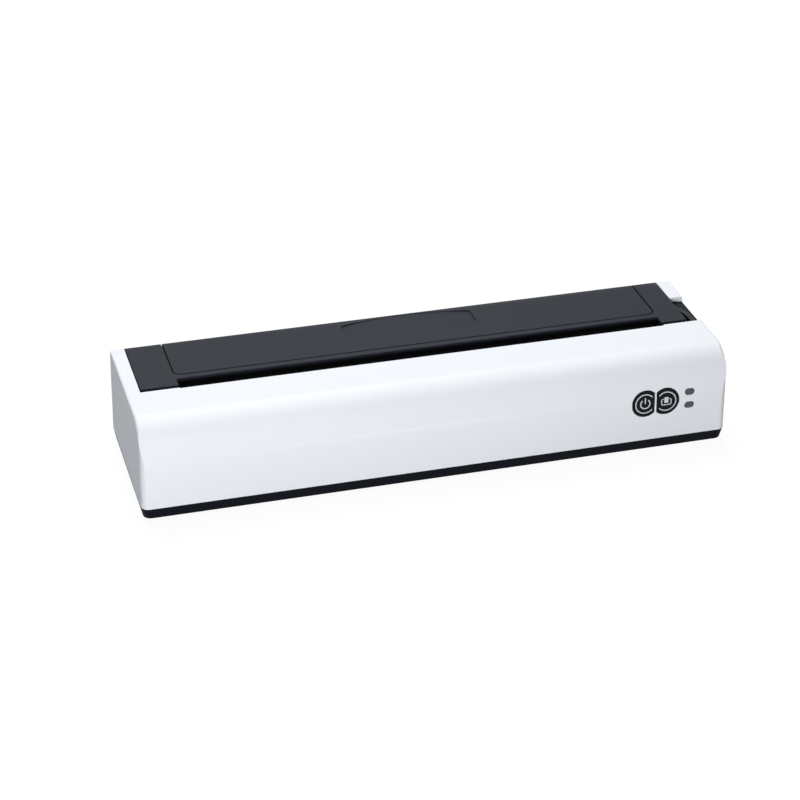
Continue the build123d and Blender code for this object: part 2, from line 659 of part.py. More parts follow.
def make_lid_panel():
    """The lid set into the cover frame, with a shallow boat-shaped relief."""
    plate = along_x(lid_side(STRIP_BACK + LID_GROOVE, 0), SLOT_LEFT, SLOT_RIGHT)
    plate = fillet(plate.edges().filter_by(Axis.Z).group_by(Axis.Y)[0], LID_CORNER)
    center_y = BACK - RELIEF_BACK - RELIEF_WIDTH / 2
    low, high = PAPER_SHIFT - RELIEF_LENGTH / 2, PAPER_SHIFT + RELIEF_LENGTH / 2
    end_low, end_high = center_y - RELIEF_END / 2, center_y + RELIEF_END / 2
    front = ThreePointArc((low, end_low), (PAPER_SHIFT, center_y - RELIEF_WIDTH / 2), (high, end_low))
    back = ThreePointArc((low, end_high), (PAPER_SHIFT, center_y + RELIEF_WIDTH / 2), (high, end_high))
    ends = [Line((low, end_low), (low, end_high)), Line((high, end_low), (high, end_high))]
    boat = make_face([front, back] + ends)
    boat = fillet(boat.vertices(), RELIEF_CORNER)
    plate -= extrude(Pos(0, 0, HEIGHT - RELIEF_DEPTH) * boat, amount=HEIGHT)
    return plate


def bracket_screw_places():
    """Screws that hold the steel bracket under the cover's deck, as (x, y)."""
    y = BRACKET_BACK - BRACKET_FRONT_GAP
    first = PAPER_SHIFT - BRACKET_SCREW_PITCH * (BRACKET_SCREWS - 1) / 2
    return [(first + BRACKET_SCREW_PITCH * index, y) for index in range(BRACKET_SCREWS)]


def make_platen_bracket():
    """The steel bracket under the cover: a long plate with an arm at each end for the platen."""
    bracket = block(LEFT_ARM[0], RIGHT_ARM[1], BRACKET_FRONT, BRACKET_BACK, BRACKET_BOTTOM, DECK_BOTTOM)
    plate_side = [(BRACKET_FRONT, DECK_BOTTOM), (BRACKET_BACK, DECK_BOTTOM), (BRACKET_BACK, BRACKET_BOTTOM)]
    hub_side = [around(PLATEN_Y, PLATEN_Z, ARM_HUB, angle) for angle in ARM_FOOT_ANGLES]
    arm = outline([around(PLATEN_Y, PLATEN_Z, ARM_HUB, ARM_TOP_ANGLE)] + plate_side + hub_side)
    arm += Pos(PLATEN_Y, PLATEN_Z) * Circle(ARM_HUB)
    for low, high in (LEFT_ARM, RIGHT_ARM):
        bracket += along_x(arm, low, high)
    bore = SHAFT_RADIUS + RUNNING + BUSH_WALL + PRESS
    bracket -= rod_x(PLATEN_Y, PLATEN_Z, bore, -END, END)
    for x, y in bracket_screw_places():
        bracket -= rod_z(x, y, SCREW_RADIUS + SCREW_PLAY, 0, HEIGHT)
    return bracket


def make_bracket_screws():
    """Small screws up through the bracket into the cover's deck."""
    screws = []
    for x, y in bracket_screw_places():
        screw = rod_z(x, y, SCREW_HEAD, BRACKET_BOTTOM - SCREW_HEAD_THICK, BRACKET_BOTTOM)
        screws.append(screw + rod_z(x, y, SCREW_RADIUS, BRACKET_BOTTOM, DECK_BOTTOM + LID_THICK - SLIP))
    return screws


def make_platen_bushes():
    """Flanged plastic bushes in the bracket's arms."""
    bore = SHAFT_RADIUS + RUNNING
    bushes = []
    for low, high, flange in (
        (LEFT_ARM[0], LEFT_ARM[1], LEFT_ARM[1]),
        (RIGHT_ARM[0], RIGHT_ARM[1], RIGHT_ARM[0] - BUSH_FLANGE),
    ):
        sleeve = tube_x(PLATEN_Y, PLATEN_Z, bore + BUSH_WALL, bore, low, high)
        collar = tube_x(PLATEN_Y, PLATEN_Z, BUSH_COLLAR, bore, flange, flange + BUSH_FLANGE)
        bushes.append(sleeve + collar)
    return bushes


def make_platen_shaft():
    """The steel shaft through the platen, from the drive gear to the release's nose."""
    return rod_x(PLATEN_Y, PLATEN_Z, SHAFT_RADIUS, -SHAFT_END, SHAFT_END)


def make_platen_rubber():
    """The rubber sleeve that presses the paper on the print head."""
    return tube_x(PLATEN_Y, PLATEN_Z, PLATEN_RADIUS, SHAFT_RADIUS + PRESS, PLATEN_LEFT, PLATEN_RIGHT)


def make_shaft_clips():
    """Spring clips that keep the shaft in its bushes."""
    bore = SHAFT_RADIUS + PRESS
    left = LEFT_ARM[0] - SLIP - CLIP_THICK
    right = RIGHT_ARM[1] + SLIP
    return [tube_x(PLATEN_Y, PLATEN_Z, CLIP_RADIUS, bore, x, x + CLIP_THICK) for x in (left, right)]


def gear_face(teeth, turn, bore):
    """A spur gear's outline with involute flanks. turn is the angle of one tooth's middle."""
    pitch = MODULE * teeth / 2
    base = pitch * cos(radians(PRESSURE_ANGLE))
    tip = pitch + MODULE * ADDENDUM
    root = pitch - MODULE * DEDENDUM
    half = pi / (2 * teeth) - BACKLASH / (2 * pitch)
    involute_at_pitch = tan(radians(PRESSURE_ANGLE)) - radians(PRESSURE_ANGLE)
    steps = 4
    flank = [(root, half + involute_at_pitch)]
    start = max(base, root)
    for step in range(steps + 1):
        radius = start + (tip - start) * step / steps
        pressure = acos(min(1.0, base / radius))
        flank.append((radius, half + involute_at_pitch - (tan(pressure) - pressure)))
    points = []
    for tooth in range(teeth):
        middle = turn + 2 * pi * tooth / teeth
        for radius, angle in flank:
            points.append((radius * cos(middle - angle), radius * sin(middle - angle)))
        for radius, angle in reversed(flank):
            points.append((radius * cos(middle + angle), radius * sin(middle + angle)))
    return outline(points) - Circle(bore)


def meshed_turn(turn, teeth, direction, other_teeth):
    """The tooth angle of a gear that meshes with one whose tooth lies at turn, seen along direction."""
    pitch = 2 * pi / teeth
    nearest = turn + pitch * round((direction - turn) / pitch)
    ahead = nearest - direction
    return direction + pi - ahead * teeth / other_teeth + pi / other_teeth


PLATEN_TO_IDLER = atan2(IDLER_Z - PLATEN_Z, IDLER_Y - PLATEN_Y)
IDLER_TO_MOTOR = atan2(MOTOR_Z - IDLER_Z, MOTOR_Y - IDLER_Y)
IDLER_TURN = meshed_turn(0.0, PLATEN_TEETH, PLATEN_TO_IDLER, IDLER_TEETH)
PINION_TURN = meshed_turn(IDLER_TURN, IDLER_TEETH, IDLER_TO_MOTOR, PINION_TEETH)


def make_platen_gear():
    """The gear on the platen's left end. It lifts out of mesh with the cover."""
    face = Pos(PLATEN_Y, PLATEN_Z) * gear_face(PLATEN_TEETH, 0.0, SHAFT_RADIUS + PRESS)
    return along_x(face, GEAR_LEFT, GEAR_RIGHT)


def make_idler_gear():
    """The idler between motor and platen, on a fixed axle."""
    bore = IDLER_AXLE + RUNNING
    face = Pos(IDLER_Y, IDLER_Z) * gear_face(IDLER_TEETH, IDLER_TURN, bore)
    hub = tube_x(IDLER_Y, IDLER_Z, GEAR_HUB, bore, GEAR_RIGHT, LEFT_PLATE[0] - SLIP)
    return along_x(face, GEAR_LEFT, GEAR_RIGHT) + hub


def make_idler_axle():
    """The headed axle riveted in the left frame plate."""
    axle = rod_x(IDLER_Y, IDLER_Z, IDLER_AXLE, GEAR_LEFT - SLIP, LEFT_PLATE[1])
    return axle + rod_x(IDLER_Y, IDLER_Z, AXLE_HEAD, GEAR_LEFT - SLIP - CLIP_THICK, GEAR_LEFT - SLIP)


def make_motor_pinion():
    """The brass pinion pressed on the motor's shaft."""
    face = Pos(MOTOR_Y, MOTOR_Z) * gear_face(PINION_TEETH, PINION_TURN, MOTOR_SHAFT + PRESS)
    return along_x(face, GEAR_LEFT, GEAR_RIGHT)


def make_motor_shaft():
    """The stepper motor's turning shaft."""
    return rod_x(MOTOR_Y, MOTOR_Z, MOTOR_SHAFT, GEAR_LEFT - SLIP, LEFT_PLATE[1] + MOTOR_SHAFT_IN)


def make_motor():
    """The stepper motor: a round can whose boss sits in the left frame plate."""
    left, face = LEFT_PLATE
    motor = rod_x(MOTOR_Y, MOTOR_Z, MOTOR_RADIUS, face, face + MOTOR_LENGTH)
    motor += rod_x(MOTOR_Y, MOTOR_Z, MOTOR_BOSS, left, face)
    bore = MOTOR_SHAFT + RUNNING
    return motor - rod_x(MOTOR_Y, MOTOR_Z, bore, left - 1, face + MOTOR_SHAFT_IN + SLIP)


def head_point(out, up):
    """A point (y, z) at a distance from the platen's axis towards the head, and up along the head."""
    lean = radians(HEAD_LEAN)
    y = PLATEN_Y - out * cos(lean) - up * sin(lean)
    z = PLATEN_Z - out * sin(lean) + up * cos(lean)
    return (y, z)


def head_strip(near, far, low, high):
    """A strip of the leaning head, seen from the side."""
    corners = [(near, low), (far, low), (far, high), (near, high)]
    return outline([head_point(out, up) for out, up in corners])


HEAD_FACE = PLATEN_RADIUS + HEAD_GAP
BAR_FACE = HEAD_FACE + HEAD_BOARD
BAR_BACK = BAR_FACE + HEAT_BAR
BEAM_FACE = BAR_BACK + SPRING_LENGTH
HEAD_PIVOT = head_point(BAR_FACE + HEAT_BAR / 2, -HEAD_PIVOT_LOW)


def make_thermal_head():
    """The ceramic heater board of the print head."""
    return along_x(head_strip(HEAD_FACE, BAR_FACE, -HEAD_BOARD_LOW, HEAD_BOARD_HIGH), SLOT_LEFT, SLOT_RIGHT)


def make_chip_cover():
    """The dark strip over the driver chips, low on the heater board."""
    face = head_strip(HEAD_FACE - CHIP_COVER, HEAD_FACE, -CHIP_COVER_LOW, -CHIP_COVER_HIGH)
    return along_x(face, PLATEN_LEFT, PLATEN_RIGHT)


def make_heat_bar():
    """The aluminium bar that carries the heater board and turns on a pin at each end."""
    bar = along_x(head_strip(BAR_FACE, BAR_BACK, -HEAT_BAR_LOW, HEAT_BAR_HIGH), SLOT_LEFT, SLOT_RIGHT)
    return bar + rod_x(HEAD_PIVOT[0], HEAD_PIVOT[1], HEAD_PIN, LEFT_PLATE[0], RIGHT_PLATE[1])


def make_head_beam():
    """The steel strip between the frame plates that the head springs push from."""
    strip = head_strip(BEAM_FACE, BEAM_FACE + BEAM_THICK, -BEAM_LOW, BEAM_HIGH)
    return along_x(strip, LEFT_PLATE[1], RIGHT_PLATE[0])


def make_head_springs():
    """Coil springs that push the head on the platen."""
    springs = []
    lean = radians(HEAD_LEAN)
    near = BAR_BACK + SPRING_SEAT_GAP + SPRING_WIRE
    height = BEAM_FACE - SPRING_WIRE - near
    for index in range(SPRING_COUNT):
        x = PAPER_SHIFT + SPRING_PITCH * (index - (SPRING_COUNT - 1) / 2)
        y, z = head_point(near, 0)
        seat = Plane(origin=(x, y, z), x_dir=(1, 0, 0), z_dir=(0, -cos(lean), -sin(lean)))
        coil = Helix(pitch=height / SPRING_TURNS, height=height, radius=SPRING_COIL - SPRING_WIRE)
        wire = Plane(origin=coil @ 0, z_dir=coil % 0) * Circle(SPRING_WIRE)
        springs.append(seat * sweep(wire, path=coil, is_frenet=True))
    return springs


def make_frame_plates():
    """The two steel plates that stand on the base and carry head, gears and motor."""
    shape = [
        (FRONT + PLATE_FRONT, FLOOR_TOP),
        (FRONT + PLATE_BACK, FLOOR_TOP),
        (FRONT + PLATE_BACK, PLATEN_Z - PLATE_SHOULDER),
        (PLATEN_Y + PLATE_HORN, PLATEN_Z),
        (PLATEN_Y - PLATE_HORN, PLATEN_Z),
        (SLOT_FRONT - PLATE_NOSE, HEIGHT - WALL - FLANGE_DROP - SLIP),
        (FRONT + PLATE_FRONT, PLATEN_Z - SLIP),
    ]
    face = outline(shape)
    face -= Pos(PLATEN_Y, PLATEN_Z) * Circle(SHAFT_RADIUS + CRADLE_GAP)
    face -= Pos(*HEAD_PIVOT) * Circle(HEAD_PIN + RUNNING)
    left_face = face - Pos(IDLER_Y, IDLER_Z) * Circle(IDLER_AXLE + PRESS)
    left_face -= Pos(MOTOR_Y, MOTOR_Z) * Circle(MOTOR_BOSS + PRESS)
    right_face = face - Pos(LEVER_PIVOT_Y, LEVER_PIVOT_Z) * Circle(LEVER_PIN + PRESS)
    return along_x(left_face, *LEFT_PLATE), along_x(right_face, *RIGHT_PLATE)


def make_tear_bar():
    """The toothed steel strip at the front of the paper slot."""
    top = HEIGHT - TEAR_BELOW_TOP - TOOTH_HEIGHT
    low = HEIGHT - TEAR_BELOW_TOP - TEAR_HEIGHT
    count = floor(PAPER_WIDTH / TOOTH_PITCH)
    points = [(PLATEN_LEFT, low), (PLATEN_LEFT, top)]
    for tooth in range(count):
        x = PLATEN_LEFT + TOOTH_PITCH * tooth
        points.append((x + TOOTH_PITCH / 2, top + TOOTH_HEIGHT))
        points.append((x + TOOTH_PITCH, top))
    points.append((PLATEN_RIGHT + SLIP, top))
    points.append((PLATEN_RIGHT + SLIP, low))
    return along_y(outline(points), SLOT_FRONT, SLOT_FRONT + TEAR_THICK)


def tray_shape(radius, front_top, back_top):
    """A trough's side view, round below and upright above, with the heights of its two walls."""
    front = Pos(ROLL_Y - radius, ROLL_Z) * Rectangle(radius, front_top - ROLL_Z, align=(Align.MIN, Align.MIN))
    back = Pos(ROLL_Y, ROLL_Z) * Rectangle(radius, back_top - ROLL_Z, align=(Align.MIN, Align.MIN))
    return Pos(ROLL_Y, ROLL_Z) * Circle(radius) + front + back


def make_paper_tray():
    """The trough that a paper roll lies in, with ribs that stand on the base."""
    outer = ROLL_RADIUS + TRAY_WALL
    tray = along_x(tray_shape(outer, TRAY_FRONT_TOP, DECK_BOTTOM - TRAY_BACK_DROP), SLOT_LEFT, SLOT_RIGHT)
    rib_low, rib_high = ROLL_Y - TRAY_RIB_HALF, ROLL_Y + TRAY_RIB_HALF
    for step in (-1, 0, 1):
        x = PAPER_SHIFT + TRAY_RIB_PITCH * step
        tray += block(x, x + TRAY_RIB, rib_low, rib_high, FLOOR_TOP, ROLL_Z)
    return tray - along_x(tray_shape(ROLL_RADIUS, HEIGHT, HEIGHT), SLOT_LEFT, SLOT_RIGHT)


def make_tray_ends():
    """The two caps that close the trough's ends, low enough to clear the platen's bushes."""
    end_top = DECK_BOTTOM - TRAY_END_DROP
    above = block(-END, END, FRONT, BACK, end_top, HEIGHT)
    cap = tray_shape(ROLL_RADIUS + TRAY_WALL, end_top, end_top)
    left = along_x(cap, SLOT_LEFT - TRAY_END, SLOT_LEFT)
    right = along_x(cap, SLOT_RIGHT, SLOT_RIGHT + TRAY_END)
    return [left - above, right - above]


def battery_span():
    """The battery's ends along X."""
    return BATTERY_START - END, END - BATTERY_END


def saddle_places():
    """Where the battery saddles stand along X."""
    x_low, x_high = battery_span()
    spread = (x_high - x_low) / SADDLE_COUNT
    return [x_low + spread * (step + 0.5) - SADDLE_THICK / 2 for step in range(SADDLE_COUNT)]


def make_battery_pack():
    """Two round cells end to end in a shrunk sleeve, joined by a tab."""
    x_low, x_high = battery_span()
    pack = rod_x(CELL_Y, CELL_Z, CELL_RADIUS - SLIP, x_low, x_high)
    pitch = (x_high - x_low + CELL_GAP) / CELL_COUNT
    for index in range(CELL_COUNT):
        x = x_low + pitch * index
        pack += rod_x(CELL_Y, CELL_Z, CELL_RADIUS, x, x + pitch - CELL_GAP)
    return pack


def make_main_board():
    """The main circuit board over the battery."""
    x_low, x_high, y_low, y_high = main_board_span()
    board = block(x_low, x_high, y_low, y_high, MAIN_BOARD_Z, MAIN_BOARD_Z + BOARD_THICK)
    for x, y in main_screw_places():
        board -= rod_z(x, y, SCREW_RADIUS + SCREW_PLAY, 0, HEIGHT)
    return board


def make_board_parts():
    """Chips, capacitors and plugs on the main board."""
    x_low, x_high, y_low, y_high = main_board_span()
    length = x_high - x_low
    z = MAIN_BOARD_Z + BOARD_THICK
    middle = (y_low + y_high) / 2
    parts = []
    for share in CHIP_SHARES:
        x = x_low + length * share
        parts.append(block(x, x + CHIP, middle - CHIP / 2, middle + CHIP / 2, z, z + CHIP_HEIGHT))
    for share in CAPACITOR_SHARES:
        parts.append(rod_z(x_low + length * share, middle, CAPACITOR_RADIUS, z, z + CAPACITOR_HEIGHT))
    half = CABLE_WIDTH / 2 + PLUG_MARGIN
    plug_front = y_high - PLUG_DEEP
    parts.append(block(PAPER_SHIFT - half, PAPER_SHIFT + half, plug_front, y_high, z, z + PLUG_HEIGHT))
    return parts


def make_head_cable():
    """The flat cable from the main board down under the spring beam and up to the head."""
    y_plug = main_board_span()[3]
    y_down = y_plug + CABLE_LEAD
    y_up, head_z = head_point(HEAD_FACE, -HEAT_BAR_LOW)
    z_plug = MAIN_BOARD_Z + BOARD_THICK + SLIP
    z_up = head_z - SLIP
    z_low = head_z - CABLE_DROP
    path = [
        (y_plug, z_plug + CABLE_THICK),
        (y_down, z_plug + CABLE_THICK),
        (y_down, z_low),
        (y_up, z_low),
        (y_up, z_up),
        (y_up + CABLE_THICK, z_up),
        (y_up + CABLE_THICK, z_low - CABLE_THICK),
        (y_down - CABLE_THICK, z_low - CABLE_THICK),
        (y_down - CABLE_THICK, z_plug),
        (y_plug, z_plug),
    ]
    return along_x(outline(path), PAPER_SHIFT - CABLE_WIDTH / 2, PAPER_SHIFT + CABLE_WIDTH / 2)


def make_control_board():
    """The upright board behind the buttons and lamps."""
    board = block(PANEL_LEFT, PANEL_RIGHT, PANEL_Y, PANEL_Y + BOARD_THICK, PANEL_LOW, PANEL_HIGH)
    for x, z in panel_screw_places():
        hole = Pos(x, z) * Circle(SCREW_RADIUS + SCREW_PLAY)
        board -= along_y(hole, PANEL_Y - 1, PANEL_Y + BOARD_THICK + 1)
    return board


def make_switches():
    """Push switches on the control board, one behind each button."""
    switches = []
    for side in (-1, 1):
        center = Pos(button_center(side), BUTTON_HEIGHT)
        switch = along_y(center * Rectangle(SWITCH_SIZE, SWITCH_SIZE), PANEL_Y - SWITCH_DEEP, PANEL_Y)
        plunger = center * Circle(PLUNGER_RADIUS)
        switch += along_y(plunger, PANEL_Y - SWITCH_DEEP - PLUNGER_LENGTH, PANEL_Y - SWITCH_DEEP)
        switches.append(switch)
    return switches


def make_button(side):
    """A front button: a cap flush with the casing's curve, a rim behind the wall and a stem."""
    skin = Pos(0, BUTTON_SUNK, 0) * casing_body(0, SHELL_BOTTOM)
    button = along_y(button_face(side, 0, 0), FRONT - 1, RIM_Y + BUTTON_RIM) & skin
    button += along_y(button_face(side, BUTTON_RIM, 0), RIM_Y, RIM_Y + BUTTON_RIM)
    stem = Pos(button_center(side), BUTTON_HEIGHT) * Circle(STEM_RADIUS)
    return button + along_y(stem, RIM_Y, STEM_END_Y)


def make_lamp_lenses():
    """Clear pills that carry light from the diodes to the front."""
    skin = Pos(0, LAMP_PLAY, 0) * casing_body(0, SHELL_BOTTOM)
    lenses = []
    for row in LAMP_ROWS:
        lens = along_y(lamp_face(row, 0), FRONT - 1, PANEL_Y - DIODE_DEEP - DIODE_GAP) & skin
        lenses.append(lens + along_y(lamp_face(row, LAMP_RIM), RIM_Y, RIM_Y + BUTTON_RIM))
    return lenses


def make_diodes():
    """The two light-emitting diodes on the control board."""
    diodes = []
    for row in LAMP_ROWS:
        diodes.append(along_y(Pos(LAMP_X, row) * Rectangle(DIODE, DIODE), PANEL_Y - DIODE_DEEP, PANEL_Y))
    return diodes


def make_board_screws():
    """Small screws through both circuit boards."""
    screws = []
    for x, y in main_screw_places():
        top = MAIN_BOARD_Z + BOARD_THICK
        screw = rod_z(x, y, SCREW_HEAD, top, top + SCREW_HEAD_THICK)
        screws.append(screw + rod_z(x, y, SCREW_RADIUS, top - SMALL_SCREW_LENGTH + SLIP, top))
    for x, z in panel_screw_places():
        back = PANEL_Y + BOARD_THICK
        screw = along_y(Pos(x, z) * Circle(SCREW_HEAD), back, back + SCREW_HEAD_THICK)
        screws.append(screw + along_y(Pos(x, z) * Circle(SCREW_RADIUS), back - SMALL_SCREW_LENGTH, back))
    return screws


def port_board_span():
    """The socket board's ends along X."""
    x_high = END - WALL - SIDE_LEAN / 2 - BOARD_PLAY
    return x_high - PORT_BOARD_LENGTH, x_high


def port_post_places():
    """Where the socket board's posts stand along X."""
    x_low, x_high = port_board_span()
    return (x_low + STANDOFF_INSET, x_high - STANDOFF_INSET)


def make_port_board():
    """The small board that carries the charging socket."""
    x_low, x_high = port_board_span()
    y_low, y_high = SOCKET_Y - PORT_BOARD_DEPTH / 2, SOCKET_Y + PORT_BOARD_DEPTH / 2
    return block(x_low, x_high, y_low, y_high, PORT_BOARD_Z, PORT_BOARD_Z + BOARD_THICK)


def make_socket():
    """The charging socket: a flat-oval steel shell with a tongue inside."""
    x_high = END - side_lean(SOCKET_Z) - SLIP
    x_low = x_high - SOCKET_DEEP
    shell = along_x(socket_face(0), x_low, x_high)
    shell -= along_x(socket_face(-SOCKET_WALL), x_low + SOCKET_WALL, x_high + 1)
    width = SOCKET_WIDTH - 2 * TONGUE_SIDE
    tongue = Pos(SOCKET_Y, SOCKET_Z) * Rectangle(width, SOCKET_TONGUE)
    return shell + along_x(tongue, x_low, x_high - SOCKET_TONGUE)


def make_side_insert():
    """The black insert that fills the notch in the right wall round the thumb well."""
    notch_end = OPENING_EDGE + NOTCH_LENGTH
    top = HEIGHT - INSERT_DROP
    low = HEIGHT - NOTCH_DROP + SLIP
    room = block(OPENING_END + SLIP, END, OPENING_EDGE + SLIP, notch_end - SLIP, low, top)
    insert = casing_body(SLIP, SHELL_BOTTOM) & room
    block_front = notch_end - SLIP - INSERT_BLOCK
    foot_low = low - INSERT_BLOCK_DROP + NOTCH_DROP
    foot_right = OPENING_END + SLIP + INSERT_INSIDE
    insert += block(OPENING_END + SLIP, foot_right, block_front, notch_end - SLIP, foot_low, top)
    well_x = OPENING_END + WELL_WIDTH - WELL_RADIUS
    return insert - rod_z(well_x, OPENING_EDGE + WELL_MIDDLE, WELL_RADIUS, 0, HEIGHT)


def make_release_lever():
    """The release: a thumb pad on an upright arm, with a nose behind the platen shaft's end."""
    pad_top = HEIGHT - INSERT_DROP - PAD_SUNK
    pad_low = pad_top - PAD_THICK
    pad_front = OPENING_EDGE + PAD_START
    pad_back = pad_front + PAD_LENGTH
    neck_z = HEIGHT - NOTCH_DROP - PAD_SUNK
    neck_front = PLATEN_Y + SHAFT_RADIUS + NOSE_GAP - SLIP
    arm = outline(
        [
            (LEVER_PIVOT_Y - LEVER_HUB, LEVER_PIVOT_Z),
            (LEVER_PIVOT_Y + LEVER_HUB, LEVER_PIVOT_Z),
            (LEVER_PIVOT_Y - NECK_BACK, neck_z),
            (pad_back, pad_top),
            (pad_front, pad_top),
            (pad_front, pad_low),
            (neck_front, neck_z),
        ]
    )
    arm += Pos(LEVER_PIVOT_Y, LEVER_PIVOT_Z) * Circle(LEVER_HUB)
    lever = along_x(arm, LEVER_LEFT, LEVER_RIGHT)
    nose_front = PLATEN_Y + SHAFT_RADIUS + NOSE_GAP
    nose = outline(
        [
            (nose_front, PLATEN_Z + NOSE_GAP),
            (nose_front, PLATEN_Z + NOSE_GAP + NOSE_THICK),
            (LEVER_PIVOT_Y - SLIP, PLATEN_Z + NOSE_GAP + NOSE_THICK),
            (LEVER_PIVOT_Y - SLIP, PLATEN_Z + NOSE_GAP),
        ]
    )
    lever += along_x(nose, SHAFT_END - NOSE_THICK, LEVER_LEFT)
    return lever - rod_x(LEVER_PIVOT_Y, LEVER_PIVOT_Z, LEVER_PIN + RUNNING, 0, END)


def make_lever_pin():
    """The pin that the release turns on, from the right frame plate to the side wall."""
    end = END - side_lean(LEVER_PIVOT_Z) - WALL - SLIP
    return rod_x(LEVER_PIVOT_Y, LEVER_PIVOT_Z, LEVER_PIN, RIGHT_PLATE[0], end)


def make_lever_spring():
    """The wound spring round the release's pin that brings it back."""
    radius = LEVER_PIN + SLIP + LEVER_SPRING_WIRE
    start = LEVER_RIGHT + SLIP + LEVER_SPRING_WIRE
    coil = Helix(pitch=LEVER_SPRING_PITCH, height=LEVER_SPRING_TURNS * LEVER_SPRING_PITCH, radius=radius)
    wire = Plane(origin=coil @ 0, z_dir=coil % 0) * Circle(LEVER_SPRING_WIRE)
    seat = Plane(origin=(start, LEVER_PIVOT_Y, LEVER_PIVOT_Z), x_dir=(0, 1, 0), z_dir=(1, 0, 0))
    return seat * sweep(wire, path=coil, is_frenet=True)


def make_paper_sensor():
    """The optical sensor on the front of the paper trough."""
    y = ROLL_Y - ROLL_RADIUS - TRAY_WALL
    x = PAPER_SHIFT + SENSOR_SHIFT
    return block(x, x + SENSOR_LENGTH, y - SENSOR_DEEP, y, TRAY_FRONT_TOP - SENSOR_HEIGHT, TRAY_FRONT_TOP)


def make_cover_switch():
    """The small switch on the right frame plate that feels the cover close."""
    x = RIGHT_PLATE[1]
    y = FRONT + PLATE_FRONT + BOARD_PLAY
    top = PLATEN_Z - COVER_SWITCH_DROP
    return block(x, x + COVER_SWITCH_WIDE, y, y + COVER_SWITCH_DEEP, top - COVER_SWITCH_HEIGHT, top)


def build():
    """Every piece by its node name. A list is one node of separate solids."""
    left_plate, right_plate = make_frame_plates()
    return {
        "base_tray": make_base_tray(),
        "upper_housing": make_upper_housing(),
        "foot_pads": make_feet(),
        "base_screws": make_base_screws(),
        "hinge_pins": make_hinge_pins(),
        "cover_frame": make_cover_frame(),
        "lid_panel": make_lid_panel(),
        "platen_bracket": make_platen_bracket(),
        "bracket_screws": make_bracket_screws(),
        "platen_bushes": make_platen_bushes(),
        "platen_shaft": make_platen_shaft(),
        "platen_rubber": make_platen_rubber(),
        "platen_gear": make_platen_gear(),
        "shaft_clips": make_shaft_clips(),
        "idler_gear": make_idler_gear(),
        "idler_axle": make_idler_axle(),
        "motor_pinion": make_motor_pinion(),
        "motor_shaft": make_motor_shaft(),
        "stepper_motor": make_motor(),
        "thermal_head": make_thermal_head(),
        "head_chip_cover": make_chip_cover(),
        "head_heat_bar": make_heat_bar(),
        "head_beam": make_head_beam(),
        "head_springs": make_head_springs(),
        "head_cable": make_head_cable(),
        "left_frame_plate": left_plate,
        "right_frame_plate": right_plate,
        "tear_bar": make_tear_bar(),
        "paper_tray": make_paper_tray(),
        "tray_ends": make_tray_ends(),
        "paper_sensor": make_paper_sensor(),
        "cover_switch": make_cover_switch(),
        "battery_pack": make_battery_pack(),
        "main_board": make_main_board(),
        "board_parts": make_board_parts(),
        "board_screws": make_board_screws(),
        "control_board": make_control_board(),
        "push_switches": make_switches(),
        "power_button": make_button(-1),
        "feed_button": make_button(1),
        "lamp_lenses": make_lamp_lenses(),
        "lamp_diodes": make_diodes(),
        "port_board": make_port_board(),
        "charging_socket": make_socket(),
        "side_insert": make_side_insert(),
        "release_lever": make_release_lever(),
        "lever_pin": make_lever_pin(),
        "lever_spring": make_lever_spring(),
    }


def solids_of(piece):
    """The solids in a piece or in a list of pieces."""
    if isinstance(piece, list):
        return [solid for item in piece for solid in item.solids()]
    return piece.solids()


os.makedirs("parts", exist_ok=True)
for name, piece in build().items():
    solids = solids_of(piece)
    shape = solids[0] if len(solids) == 1 else Compound(children=solids)
    export_step(shape, "parts/" + name + ".step")
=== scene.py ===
from math import ceil, cos, hypot, pi, radians, sin, sqrt

import bmesh
import bpy
from mathutils import Matrix, Vector


